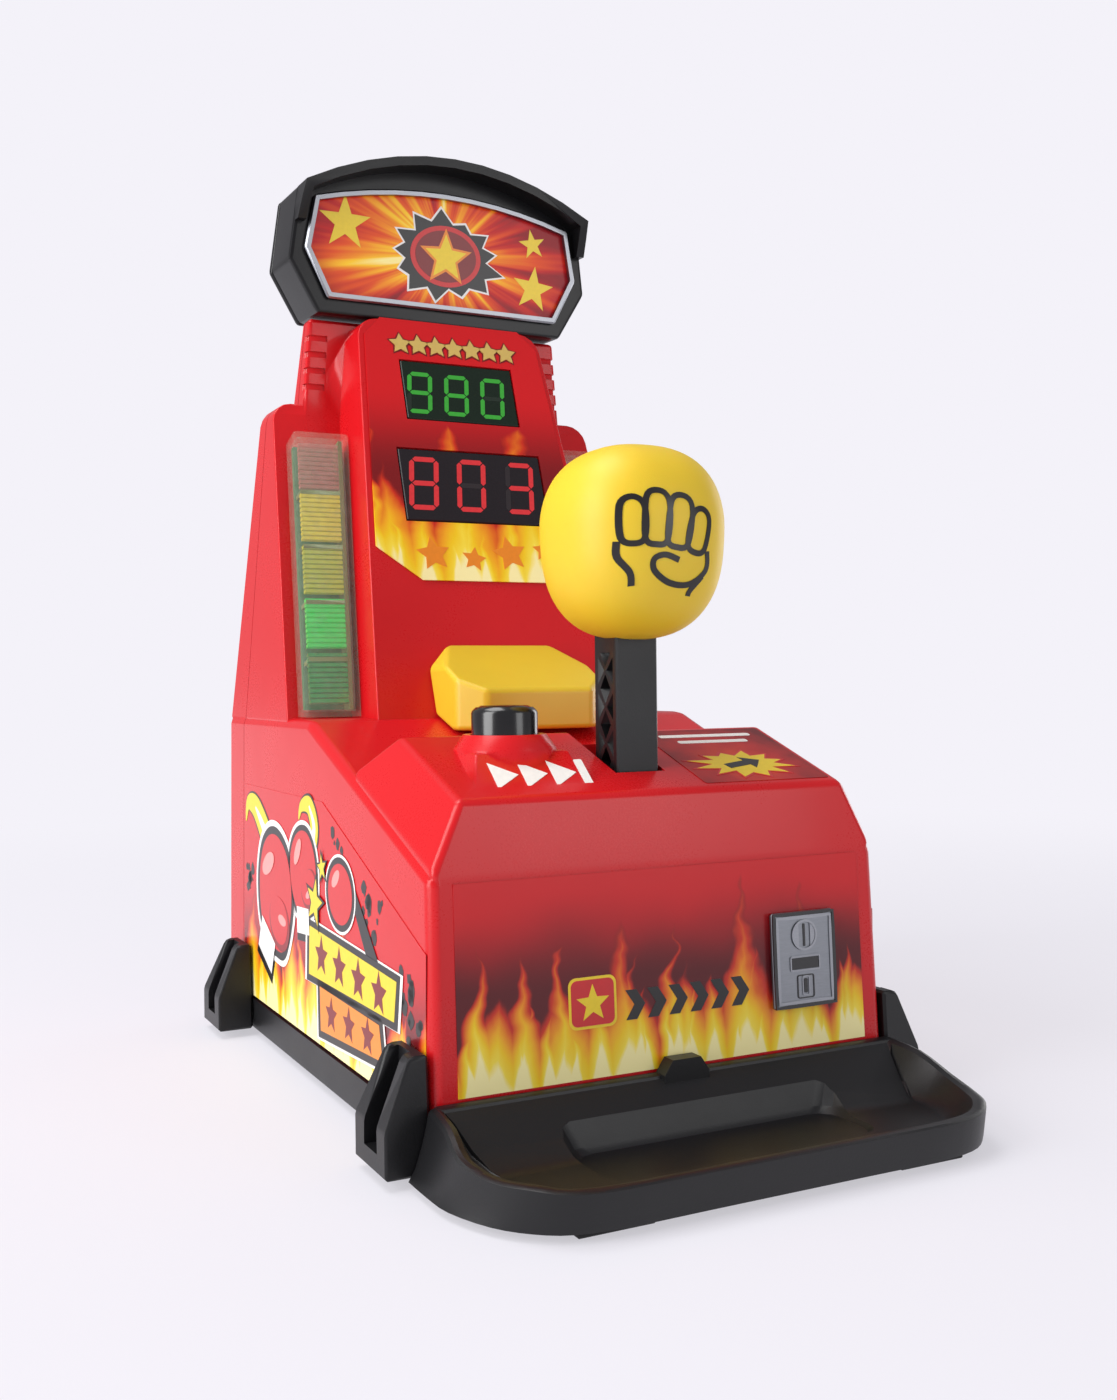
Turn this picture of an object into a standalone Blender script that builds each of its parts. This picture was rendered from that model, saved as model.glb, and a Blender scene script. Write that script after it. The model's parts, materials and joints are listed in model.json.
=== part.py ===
"""Tabletop finger-punch arcade toy, as an assembly of separate pieces with real joints.

Metres, +Z up.  X runs to the right as a player sees it, Y runs away from the player.
Sizes along Y are stations: distances from the front edge of the tray.  make() moves them into
the model's frame, whose origin is the middle of the footprint, on the ground.
"""
import math

import bmesh
import bpy
from mathutils import Vector

MM = 0.001


def mm(*values):
    """Millimetres to metres, for one value or a tuple of them."""
    scaled = tuple(value * MM for value in values)
    return scaled[0] if len(scaled) == 1 else scaled


# ---------------------------------------------------------------- overall sizes and clearances
WIDTH = mm(115)            # over the side clips
DEPTH = mm(175)            # tray front edge to the base's back edge
HEIGHT = mm(215)           # ground to the top of the marquee
GAP = mm(0.3)              # between pieces that rest on or fit in each other
WALL = mm(2.0)             # moulded wall of the casing
THIN = mm(1.2)             # boards, lenses and light walls
LABEL = mm(0.35)           # printed label, thick enough to handle as a piece
LABEL_GAP = mm(0.15)       # glue line under a label
SLIVER = mm(0.004)         # points nearer than this are one point

# ---------------------------------------------------------------- base
BASE_BOTTOM = mm(1.3)
FOOT_TOP = BASE_BOTTOM - GAP
RAIL_TOP = mm(8.6)
RAIL_HALF = mm(48.9)
RAIL_WALL = mm(2.6)
FLOOR_TOP = BASE_BOTTOM + mm(1.9)
COLLAR_TOP = mm(13.0)
CLIP_OUT = WIDTH / 2
CLIP_TOP = mm(21.6)
CLIP_LENGTH = mm(15.4)
CLIP_FRONT = mm(35.3)
CLIP_REAR = mm(148.0)
CLIP_SLOT = mm(6.4)
CLIP_BEND = mm(9.6)                # height where a clip's outer face starts to slope inwards
CLIP_LEAN = mm(4.6)                # how far that slope draws in
CLIP_POCKET = mm(6.4, 5.2)         # depth of its slot, height of the slot's floor

# ---------------------------------------------------------------- casing
BODY_BOTTOM = RAIL_TOP + GAP
BODY_FRONT = mm(36.1, 13.0)        # station, height: where the front face leaves the collar
SHOULDER = mm(38.1, 51.35)
NOTCH = mm(79.1, 66.9)
TOWER_FOOT = mm(106.25, 76.75)
BODY_REAR = mm(173.0)
HALF_BASE = mm(48.7)
HALF_CREASE = mm(47.9)
HALF_WING_TOP = mm(42.8)
WING_TOP = mm(153.0)
WING_REAR = mm(157.2)
DECK_FRONT = mm(39.5, 64.0)
DECK_REAR = mm(68.2, 74.4)
DECK_HALF = mm(41.8)
SEAM = mm(158.4)
SEAM_TOP = mm(152.0)
PANEL_LEAN = math.radians(18.5)
PANEL_HALF_FOOT = mm(31.9)
PANEL_HALF_TOP = mm(24.2)
PANEL_TOP = mm(173.6)
WING_BEHIND = mm(15.5)             # wing plane behind the score panel's plane
NECK_TOP = mm(174.2)
NECK_FRONT = mm(147.0)
NECK_HALF = mm(35.2, 33.6)         # at the wing top, at the neck top
GRIP = mm(156.6, 4.0, 1.5, 0.7)    # grooves in the neck's corners: first height, pitch, width, depth
GRIP_REACH = mm(5.0, 2.4)          # how far a groove runs along the neck's front and its side
EDGE = mm(1.4)
WING_ROUND = mm(4.6)               # rounding of the wings' outer top corners
PANEL_ROUND = mm(5.0)

# ---------------------------------------------------------------- moving parts
PIVOT = mm(53.1, 54.0)             # station, height
PIVOT_SHAFT_R = mm(2.0)
ARM_HALF = mm(4.6)
ARM_FRONT = mm(48.7)
ARM_BACK = mm(57.5)
ARM_TOP = mm(112.0)
ARM_SWING = math.radians(33)
SLOT_HALF = ARM_HALF + mm(0.9)
SLOT_FRONT = ARM_FRONT - mm(0.9)
BALL_CENTRE = mm(50.5, 111.1)
BALL_HALF = mm(16.9, 16.9, 18.7)
BUTTON_AT = mm(-24.0, 58.0)
BUTTON_R = mm(6.4)
BUTTON_TOP = mm(80.2)
BUTTON_FOOT = mm(73.0)
BUTTON_TRAVEL = mm(2.0)
RING_TOP = mm(74.6)
RING_R = (BUTTON_R + mm(1.6), BUTTON_R + mm(3.5))   # at its top, at its foot
BLOCK_TOP = mm(71.5)

# ---------------------------------------------------------------- marquee and displays
MARQUEE_AT = mm(141.3, 189.5)
MARQUEE_LEAN = math.radians(-2.7)
MARQUEE_DEPTH = mm(15.6)
MARQUEE_BACK = mm(2.3)             # back cover, with its gap
VISOR_DEPTH = mm(6.5)
VISOR_LEAST = 0.35                 # share of its depth at its lower ends
VISOR_ENDS = mm(6.2, 15.0)         # heights on the marquee where it starts and where it is deepest
GREEN_WINDOW = mm(14.8, 75.0, 90.7)    # half width, lower and upper distance up the panel
RED_WINDOW = mm(18.6, 48.1, 66.7)
LENS_FRONT = mm(8.0)
LENS_BOTTOM = mm(1.8)
LENS_TOP = mm(74.4)
LENS_CELLS = 5

COLOURS = {
    "red": ((0.66, 0.02, 0.025), 0.28, 0.0),
    "black": ((0.022, 0.022, 0.025), 0.42, 0.0),
    "rubber": ((0.02, 0.02, 0.02), 0.8, 0.0),
    "yellow": ((0.80, 0.52, 0.03), 0.4, 0.0),
    "silver": ((0.62, 0.63, 0.65), 0.3, 1.0),
    "steel": ((0.55, 0.56, 0.58), 0.3, 1.0),
    "brass": ((0.72, 0.55, 0.25), 0.35, 1.0),
    "print": ((0.75, 0.16, 0.03), 0.35, 0.0),
    "clear": ((0.80, 0.85, 0.83), 0.08, 0.0),
    "green_window": ((0.02, 0.09, 0.03), 0.12, 0.0),
    "red_window": ((0.09, 0.01, 0.01), 0.12, 0.0),
    "white": ((0.8, 0.8, 0.78), 0.45, 0.0),
    "board": ((0.02, 0.17, 0.06), 0.5, 0.0),
}


# ---------------------------------------------------------------- modelling helpers
def material(name):
    found = bpy.data.materials.get(name)
    if found:
        return found
    colour, roughness, metallic = COLOURS[name]
    made = bpy.data.materials.new(name)
    made.use_nodes = True
    shader = made.node_tree.nodes["Principled BSDF"]
    shader.inputs["Base Color"].default_value = (*colour, 1.0)
    shader.inputs["Roughness"].default_value = roughness
    shader.inputs["Metallic"].default_value = metallic
    made.diffuse_color = (*colour, 1.0)
    return made


def make(name, rings, colour, origin=(0.0, DEPTH / 2, 0.0), edge=0.0, segments=2, smooth=False):
    """A closed body lofted through rings of points; edge rounds every sharp edge."""
    bm = bmesh.new()
    base = Vector(origin)
    loops = [[bm.verts.new(Vector(point) - base) for point in ring] for ring in rings]
    count = len(loops[0])
    for low, high in zip(loops, loops[1:]):
        for i in range(count):
            j = (i + 1) % count
            bm.faces.new((low[i], low[j], high[j], high[i]))
    bm.faces.new(loops[0][::-1])
    bm.faces.new(loops[-1])
    bmesh.ops.recalc_face_normals(bm, faces=bm.faces)
    if edge:
        sharp = [e for e in bm.edges if e.calc_face_angle(0.0) > math.radians(20)]
        bmesh.ops.bevel(bm, geom=sharp, offset=edge, segments=segments, profile=0.5,
                        affect="EDGES", clamp_overlap=True)
    mesh = bpy.data.meshes.new(name)
    bm.to_mesh(mesh)
    bm.free()
    mesh.materials.append(material(colour))
    obj = bpy.data.objects.new(name, mesh)
    obj.location = base - Vector((0.0, DEPTH / 2, 0.0))
    bpy.context.scene.collection.objects.link(obj)
    if smooth:
        mesh.shade_smooth()
        mesh.set_sharp_from_angle(angle=math.radians(35))
    return obj


def tidy(mesh):
    """Merge the near-duplicate points that a Boolean leaves, and split its faces into triangles."""
    bm = bmesh.new()
    bm.from_mesh(mesh)
    bmesh.ops.remove_doubles(bm, verts=bm.verts, dist=SLIVER)
    bmesh.ops.dissolve_limit(bm, angle_limit=math.radians(0.05), verts=bm.verts, edges=bm.edges)
    bmesh.ops.triangulate(bm, faces=bm.faces, ngon_method="EAR_CLIP")
    bm.to_mesh(mesh)
    bm.free()


def combine(obj, others, operation):
    """Boolean each of the others into obj and remove it."""
    for other in others:
        modifier = obj.modifiers.new("cut", "BOOLEAN")
        modifier.operation = operation
        modifier.solver = "EXACT"
        modifier.object = other
        bpy.context.view_layer.update()
        evaluated = obj.evaluated_get(bpy.context.evaluated_depsgraph_get())
        result = bpy.data.meshes.new_from_object(evaluated)
        tidy(result)
        obj.modifiers.clear()
        old = obj.data
        obj.data = result
        result.name = obj.name
        bpy.data.meshes.remove(old)
        bpy.data.objects.remove(other)
    return obj


def cut(obj, *others):
    return combine(obj, others, "DIFFERENCE")


def join(obj, *others):
    return combine(obj, others, "UNION")


def prism_x(name, outline, low, high, colour="red", **options):
    """An outline of (station, height) points, extruded along X."""
    rings = [[(x, y, z) for y, z in outline] for x in (low, high)]
    return make(name, rings, colour, **options)


def prism_z(name, outline, low, high, colour="black", **options):
    """An outline of (x, station) points, extruded upwards."""
    rings = [[(x, y, z) for x, y in outline] for z in (low, high)]
    return make(name, rings, colour, **options)


def box(name, low, high, colour="black", **options):
    outline = [(low[0], low[1]), (high[0], low[1]), (high[0], high[1]), (low[0], high[1])]
    return prism_z(name, outline, low[2], high[2], colour, **options)


def circle(radius, count, centre=(0.0, 0.0)):
    turn = math.tau / count
    return [(centre[0] + radius * math.cos(i * turn), centre[1] + radius * math.sin(i * turn))
            for i in range(count)]


def turned(name, at, profile, colour, count=24, **options):
    """A body turned about a vertical axis at (x, station); profile is (radius, height)."""
    rings = [[(x, y, height) for x, y in circle(radius, count, at)] for radius, height in profile]
    return make(name, rings, colour, smooth=True, **options)


def rod_x(name, at, radius, low, high, colour="steel", count=20, **options):
    outline = circle(radius, count, at)
    return prism_x(name, outline, low, high, colour, smooth=True, **options)


def rod_y(name, at, profile, colour="steel", count=16):
    """A body turned about a front-to-back axis at (x, height); profile is (radius, station)."""
    rings = [[(x, station, z) for x, z in circle(radius, count, at)] for radius, station in profile]
    return make(name, rings, colour, smooth=True)


class Plane:
    """A leaning plane: x across, s up along it, d behind it."""

    def __init__(self, foot, lean):
        self.foot = foot
        self.sin = math.sin(lean)
        self.cos = math.cos(lean)

    def at(self, x, s, d=0.0):
        y = self.foot[0] + s * self.sin + d * self.cos
        z = self.foot[1] + s * self.cos - d * self.sin
        return (x, y, z)

    def slab(self, name, outline, front, back, colour, **options):
        """An outline of (x, s) points between two depths behind the plane."""
        rings = [[self.at(x, s, d) for x, s in outline] for d in (front, back)]
        return make(name, rings, colour, **options)


def rectangle(left, right, bottom, top):
    return [(left, bottom), (right, bottom), (right, top), (left, top)]


def crown(start, end, rise, count):
    """Points of a shallow arch between two ends, without the ends."""
    points = []
    for i in range(1, count):
        t = i / count
        points.append((start[0] + (end[0] - start[0]) * t,
                       start[1] + (end[1] - start[1]) * t + rise * 4 * t * (1 - t)))
    return points


def shrink(outline, amount):
    """A convex counter-clockwise outline with every side moved inwards."""
    count = len(outline)
    lines = []
    for i in range(count):
        (x0, y0), (x1, y1) = outline[i], outline[(i + 1) % count]
        length = math.hypot(x1 - x0, y1 - y0)
        nx, ny = -(y1 - y0) / length, (x1 - x0) / length
        lines.append((nx, ny, nx * x0 + ny * y0 + amount))
    moved = []
    for i in range(count):
        a, b = lines[i - 1], lines[i]
        det = a[0] * b[1] - a[1] * b[0]
        moved.append(((a[2] * b[1] - a[1] * b[2]) / det, (a[0] * b[2] - a[2] * b[0]) / det))
    return moved


def between(z, low, high, at_low, at_high):
    return at_low + (at_high - at_low) * (z - low) / (high - low)


panel = Plane(TOWER_FOOT, PANEL_LEAN)
marquee = Plane(MARQUEE_AT, MARQUEE_LEAN)
front = Plane(BODY_FRONT, math.atan2(SHOULDER[0] - BODY_FRONT[0], SHOULDER[1] - BODY_FRONT[1]))
deck = Plane(DECK_FRONT, math.atan2(DECK_REAR[0] - DECK_FRONT[0], DECK_REAR[1] - DECK_FRONT[1]))
DECK_LENGTH = math.hypot(DECK_REAR[0] - DECK_FRONT[0], DECK_REAR[1] - DECK_FRONT[1])


# ---------------------------------------------------------------- casing solids
def side_half(z):
    """Half width of the cabinet below the crease."""
    return between(z, BODY_BOTTOM, TOWER_FOOT[1], HALF_BASE, HALF_CREASE)


def wing_half(z):
    return between(z, TOWER_FOOT[1], WING_TOP, HALF_CREASE, HALF_WING_TOP)


def panel_half(z):
    return between(z, TOWER_FOOT[1], PANEL_TOP, PANEL_HALF_FOOT, PANEL_HALF_TOP)


def panel_y(z, behind=0.0):
    return TOWER_FOOT[0] + (z - TOWER_FOOT[1]) * math.tan(PANEL_LEAN) + behind / math.cos(PANEL_LEAN)


def rear_y(z):
    return between(max(z, TOWER_FOOT[1]), TOWER_FOOT[1], WING_TOP, BODY_REAR, WING_REAR)


def seam_y(z):
    return between(max(z, TOWER_FOOT[1]), TOWER_FOOT[1], WING_TOP, SEAM, SEAM_TOP)


def cabinet(inset, bottom):
    """Lower cabinet up to the crease, with side walls that draw in as they rise."""
    drop = inset * 1.1
    lean = (SHOULDER[0] - BODY_FRONT[0]) / (SHOULDER[1] - BODY_FRONT[1])
    foot = BODY_FRONT[0] - (BODY_FRONT[1] - bottom) * lean
    outline = [(foot + inset, bottom), (SHOULDER[0] + inset, SHOULDER[1] - drop),
               (TOWER_FOOT[0] + inset, TOWER_FOOT[1] - drop),
               (BODY_REAR - inset, TOWER_FOOT[1] - drop), (BODY_REAR - inset, bottom)]
    rings = [[(side * (side_half(z) - inset), y, z) for y, z in outline] for side in (-1, 1)]
    return make("cabinet", rings, "red", edge=0 if inset else mm(2.2), segments=3)


def console(inset):
    """Hump with the sloping deck."""
    sunk = mm(6)
    rings = []
    for half, fore, aft in (
            (side_half(NOTCH[1]) - mm(2.5), (SHOULDER[0] + mm(1), SHOULDER[1] - sunk),
             (NOTCH[0] - mm(1), NOTCH[1] - sunk)),
            (side_half(NOTCH[1]) - mm(0.3), SHOULDER, NOTCH),
            (DECK_HALF, DECK_FRONT, DECK_REAR)):
        half -= inset
        y0, z0 = fore[0] + inset, fore[1] - inset
        y1, z1 = aft[0] - inset, aft[1] - inset
        rings.append([(-half, y0, z0), (half, y0, z0), (half, y1, z1), (-half, y1, z1)])
    return make("console", rings, "red", edge=0 if inset else EDGE, segments=3)


def rounded_top(high, radius, steps=4):
    """Heights near the top of a solid, with how far its sides have drawn in to round it."""
    turns = [math.pi / 2 * k / steps for k in range(steps + 1)]
    return [(high - radius + radius * math.sin(a), radius * (1 - math.cos(a))) for a in turns]


def wings(inset):
    """Full-width tower behind the score panel."""
    levels = [(TOWER_FOOT[1] - mm(8), mm(2.8)), (TOWER_FOOT[1] - mm(0.4), mm(0.55))]
    levels += rounded_top(WING_TOP - inset, WING_ROUND - inset / 2)
    rings = []
    for i, (z, sunk) in enumerate(levels):
        half = wing_half(z) - inset - sunk
        hidden = sunk if i < 2 else 0.0
        y0 = panel_y(z, WING_BEHIND + inset) + hidden
        y1 = rear_y(z) - inset - hidden
        rings.append([(-half, y0, z), (half, y0, z), (half, y1, z), (-half, y1, z)])
    return make("wings", rings, "red", edge=0 if inset else EDGE, segments=3)


def column(inset):
    """Raised score panel, with its flat front leaning back."""
    low = TOWER_FOOT[1] - mm(8)
    high = PANEL_TOP - inset
    behind = WING_BEHIND + mm(4) + inset
    stations = [(low, panel_y(low, behind), 0.0), (WING_TOP, panel_y(WING_TOP, behind), 0.0)]
    stations += [(z, NECK_FRONT + mm(3), sunk) for z, sunk in rounded_top(high, PANEL_ROUND - inset / 2)]
    rings = []
    for z, y1, sunk in stations:
        half = panel_half(z) - inset - sunk
        y0 = panel_y(z, inset)
        rings.append([(-half, y0, z), (half, y0, z), (half, y1, z), (-half, y1, z)])
    return make("column", rings, "red", edge=0 if inset else mm(2.4), segments=3)


def neck(inset):
    """Shoulders between the wings and the marquee."""
    low = WING_TOP - mm(8)
    high = NECK_TOP - inset
    rings = []
    for z in (low, high):
        half = between(z, WING_TOP, NECK_TOP, *NECK_HALF) - inset
        y0 = NECK_FRONT + inset
        y1 = rear_y(z) - inset - mm(0.5)
        rings.append([(-half, y0, z), (half, y0, z), (half, y1, z), (-half, y1, z)])
    return make("neck", rings, "red", edge=0 if inset else mm(1.0))


def casing(inset, bottom):
    return join(cabinet(inset, bottom), console(inset), wings(inset), column(inset), neck(inset))


def beyond_seam(name, side):
    """Everything behind (+1) or in front of (-1) the seam between the shell and the rear cover."""
    shift = -side * GAP / 2
    far = DEPTH * 2 if side > 0 else -DEPTH
    low, high = -HEIGHT, HEIGHT * 2
    outline = [(seam_y(low) + shift, low), (seam_y(TOWER_FOOT[1]) + shift, TOWER_FOOT[1]),
               (seam_y(high) + shift, high), (far, high), (far, low)]
    return prism_x(name, outline, -WIDTH, WIDTH)


def start_block():
    """Raised block that carries the start button, and the ring around the button."""
    x0, x1 = BUTTON_AT[0] - mm(9.3), BUTTON_AT[0] + mm(10.2)
    y0, y1 = DECK_FRONT[0] + mm(1.6), BUTTON_AT[1] - mm(6.9)
    low = DECK_FRONT[1] - mm(1.0)
    flare = mm(5.0)
    rings = [[(x0 - flare, y0, low), (x1, y0, low), (x1, DECK_REAR[0] - mm(6), low),
              (x0 - flare, DECK_REAR[0] - mm(6), low)],
             [(x0, y1, BLOCK_TOP), (x1, y1, BLOCK_TOP), (x1, DECK_REAR[0] - mm(8), BLOCK_TOP),
              (x0, DECK_REAR[0] - mm(8), BLOCK_TOP)]]
    return make("block", rings, "red", edge=mm(0.5))


def window(plane, half, low, high, front_d, back_d):
    return plane.slab("window", rectangle(-half, half, low, high), front_d, back_d, "red")


# ---------------------------------------------------------------- casing pieces
def build_casing():
    outer = casing(0.0, BODY_BOTTOM)
    ring = turned("ring", BUTTON_AT, [(RING_R[1], BLOCK_TOP - mm(4)), (RING_R[1], BLOCK_TOP + mm(0.4)),
                                      (RING_R[0], RING_TOP)], "red")
    shell = join(outer, start_block(), ring)
    cut(shell, beyond_seam("behind", 1), casing(WALL, -HEIGHT))
    shell.name = shell.data.name = "front_shell"
    cover = casing(0.0, BODY_BOTTOM)
    cut(cover, beyond_seam("ahead", -1), casing(WALL, -HEIGHT))
    cover.name = cover.data.name = "rear_cover"

    # the arm's slot runs back through the deck's rear edge
    slot_back = PIVOT[0] + (DECK_REAR[1] - PIVOT[1]) * math.tan(ARM_SWING)
    slot_back += (ARM_BACK - PIVOT[0]) / math.cos(ARM_SWING) + mm(1.2)
    slot = box("slot", (-SLOT_HALF, SLOT_FRONT, PIVOT[1] + mm(4)), (SLOT_HALF, slot_back, BUTTON_TOP))
    bore = turned("bore", BUTTON_AT, [(BUTTON_R + mm(0.4), BUTTON_FOOT - mm(14)),
                                      (BUTTON_R + mm(0.4), BUTTON_TOP)], "red")
    cut(shell, slot, bore)

    for half, low, high in (GREEN_WINDOW, RED_WINDOW):
        cut(shell, window(panel, half + GAP, low - GAP, high + GAP, mm(-4), WALL * 2))
    for x in (-1, 1):
        opening = wing_opening(x)
        cut(shell, opening)
    wires = box("wires", (mm(-6), NECK_FRONT + mm(0.2), NECK_TOP - mm(4)),
                (mm(6), NECK_FRONT + mm(3.0), NECK_TOP + mm(2)))
    cut(shell, wires)

    for side in (-1, 1):
        for i in range(GRIP_COUNT):
            cut(shell, grip_groove(side, GRIP[0] + GRIP[1] * i))

    # power switch slot and screw holes
    inner, outer = BODY_REAR - mm(6), BODY_REAR + mm(2)
    (x, z), (wide, high) = SWITCH_AT, SWITCH_SLOT
    cut(cover, box("slot", (x - wide, inner, z - high), (x + wide, outer, z + high)))
    hole, recess = SCREW_R[1] + GAP, SCREW_R[0] + GAP
    for at in SCREWS:
        cut(cover, rod_y("hole", at, [(hole, inner), (hole, outer)]))
        cut(cover, rod_y("recess", at, [(recess, BODY_REAR - SCREW_SEAT), (recess, outer)]))


def grip_groove(side, low):
    """Cutter for a finger groove round a front corner of the neck."""
    half = between(low, WING_TOP, NECK_TOP, *NECK_HALF)
    wide, deep = GRIP[2], GRIP[3]
    front, beyond = NECK_FRONT - mm(1), half + mm(2)
    outline = [(half - GRIP_REACH[0], front), (beyond, front), (beyond, NECK_FRONT + GRIP_REACH[1]),
               (half - deep, NECK_FRONT + GRIP_REACH[1]), (half - deep, NECK_FRONT + deep),
               (half - GRIP_REACH[0], NECK_FRONT + deep)]
    return prism_z("groove", [(side * x, y) for x, y in outline], low, low + wide)


GRIP_COUNT = 4
SCREW_R = mm(2.5, 1.25)            # head, shank
SCREW_SEAT = mm(1.1)               # depth of the recess for a head
SCREWS = [(side * mm(39), z) for side in (-1, 1) for z in mm(20, 66)]
SWITCH_AT = mm(-16, 30)
SWITCH_SLOT = mm(3.6, 1.9)


def build_screws():
    names = ("case_screw_lower_left", "case_screw_upper_left",
             "case_screw_lower_right", "case_screw_upper_right")
    seat = BODY_REAR - SCREW_SEAT + GAP
    head, shank = SCREW_R
    profile = [(shank * 0.4, BODY_REAR - mm(11)), (shank, BODY_REAR - mm(9.5)), (shank, seat),
               (head, seat), (head, seat + mm(0.7)), (head * 0.6, seat + mm(1.3))]
    for name, at in zip(names, SCREWS):
        rod_y(name, at, profile)


def build_power_switch():
    x, z = SWITCH_AT
    inner = BODY_REAR - WALL - GAP
    half, high, face = mm(6), mm(3.5), inner - mm(2.3)
    body = box("power_switch", (x - half, inner - mm(6), z - high), (x + half, face, z + high), edge=mm(0.4))
    knob_half = mm(1.0)
    guide = knob_half + GAP
    floor = inner - mm(4.4)
    cut(body, box("guide", (x - mm(4), floor, z - guide), (x + mm(4), inner, z + guide)))
    left, right = x - mm(3.2), x - mm(0.2)
    box("power_slider", (left, floor + GAP, z - knob_half), (right, BODY_REAR + mm(1.2), z + knob_half),
        origin=(x, inner, z), edge=mm(0.3))


# ---------------------------------------------------------------- light columns
def lens_outline(side, shrinkage=0.0):
    """Outline of a light column's lens on the tower, wider at its foot."""
    s0, s1 = LENS_BOTTOM, LENS_TOP
    points = []
    for s, outer in ((s0, True), (s0, False), (s1, False), (s1, True)):
        if outer:
            x = wing_half(panel.at(0.0, s)[2]) - mm(2.3)
        else:
            x = panel_half(panel.at(0.0, s, WING_BEHIND)[2]) + GAP
        points.append((x, s))
    outline = [(points[1][0], points[1][1]), (points[0][0], points[0][1]),
               (points[3][0], points[3][1]), (points[2][0], points[2][1])]
    if shrinkage:
        outline = shrink(outline, shrinkage)
    if side < 0:
        outline = [(-x, s) for x, s in reversed(outline)]
    return outline


def wing_opening(side):
    """Wire opening behind a light column."""
    s = LENS_BOTTOM + mm(8)
    middle = side * (wing_half(TOWER_FOOT[1]) + panel_half(TOWER_FOOT[1])) / 2
    return panel.slab("wires", rectangle(middle - mm(2.5), middle + mm(2.5), s, s + mm(5)),
                      WING_BEHIND - mm(1), WING_BEHIND + WALL + mm(1), "red")


def stand_on(obj, height):
    """Trim a leaning piece level, at a height above the ground."""
    return cut(obj, box("below", (-WIDTH, -DEPTH, -HEIGHT), (WIDTH, DEPTH * 2, height)))


def build_light(side, word):
    back = WING_BEHIND - GAP
    crease = TOWER_FOOT[1]
    lens = panel.slab("light_lens_" + word, lens_outline(side), LENS_FRONT, back, "clear",
                      edge=mm(0.9), segments=2)
    hollow = panel.slab("hollow", lens_outline(side, THIN), LENS_FRONT + THIN, back + mm(1), "clear")
    cut(stand_on(lens, crease + GAP), stand_on(hollow, crease + GAP + THIN))

    inside = lens_outline(side, THIN + GAP)
    board = panel.slab("light_board_" + word, inside, back - mm(1.3), back, "board")
    stand_on(board, crease + THIN + 2 * GAP)
    low, high = inside[0][1], inside[2][1]
    step = (high - low) / LENS_CELLS
    for i in range(LENS_CELLS):
        s = low + step * (i + 0.5)
        foot = (inside[0][0] + inside[1][0]) / 2
        head = (inside[2][0] + inside[3][0]) / 2
        x = between(s, low, high, foot, head)
        lamp = panel.slab("lamp", circle(mm(1.6), 10, (x, s)), back - mm(3.0), back - mm(0.6), "board")
        join(board, lamp)

    # comb of walls that keeps each cell's light to itself
    comb_front, comb_back = LENS_FRONT + THIN + GAP, back - mm(1.3) - GAP
    foot_in, head_in = panel_edge(inside, low), panel_edge(inside, high)
    thick = side * mm(0.9)
    spine = [(foot_in, low), (foot_in + thick, low), (head_in + thick, high), (head_in, high)]
    if side < 0:
        spine = spine[::-1]
    comb = panel.slab("light_partition_" + word, spine, comb_front, comb_back, "white")
    for i in range(1, LENS_CELLS):
        s = low + step * i
        x_in = between(s, low, high, foot_in, head_in) + side * mm(0.3)
        x_out = between(s, low, high, far_edge(inside, low), far_edge(inside, high)) - side * mm(0.2)
        left, right = min(x_in, x_out), max(x_in, x_out)
        wall = panel.slab("wall", rectangle(left, right, s - mm(0.5), s + mm(0.5)),
                          comb_front + mm(0.02), comb_back - mm(0.02), "white")
        join(comb, wall)
    stand_on(comb, crease + THIN + 2 * GAP)


def panel_edge(outline, s):
    """The outline's x nearest the middle of the machine, at distance s up the panel."""
    return min((x for x, t in outline if abs(t - s) < MM), key=abs)


def far_edge(outline, s):
    return max((x for x, t in outline if abs(t - s) < MM), key=abs)


# ---------------------------------------------------------------- displays and labels
def build_displays():
    for word, (half, low, high) in (("green", GREEN_WINDOW), ("red", RED_WINDOW)):
        panel.slab(word + "_display_window", rectangle(-half, half, low, high), mm(-0.5), mm(0.9),
                   word + "_window", edge=mm(0.25), segments=1)
        behind = shrink(rectangle(-half, half, low, high), mm(1))
        panel.slab(word + "_digit_module", behind, mm(2.4), mm(6.4), "black")
    low = RED_WINDOW[1] - mm(3)
    high = GREEN_WINDOW[2] + mm(3)
    half = min(panel_half(PANEL_TOP) - WALL - mm(1.5), RED_WINDOW[0] + mm(2))
    panel.slab("display_board", rectangle(-half, half, low, high), mm(6.7), mm(8.1), "board")

    # printed panel around the displays
    right = [mm(*point) for point in ((16.6, 33.0), (27.2, 41.2), (23.1, 97.4), (18.6, 102.2))]
    outline = right + [(-x, s) for x, s in reversed(right)]
    label = panel.slab("score_label", outline, -LABEL - LABEL_GAP, -LABEL_GAP, "print")
    for half, low, high in (GREEN_WINDOW, RED_WINDOW):
        cut(label, window(panel, half + GAP, low - GAP, high + GAP, mm(-2), mm(1)))


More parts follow.
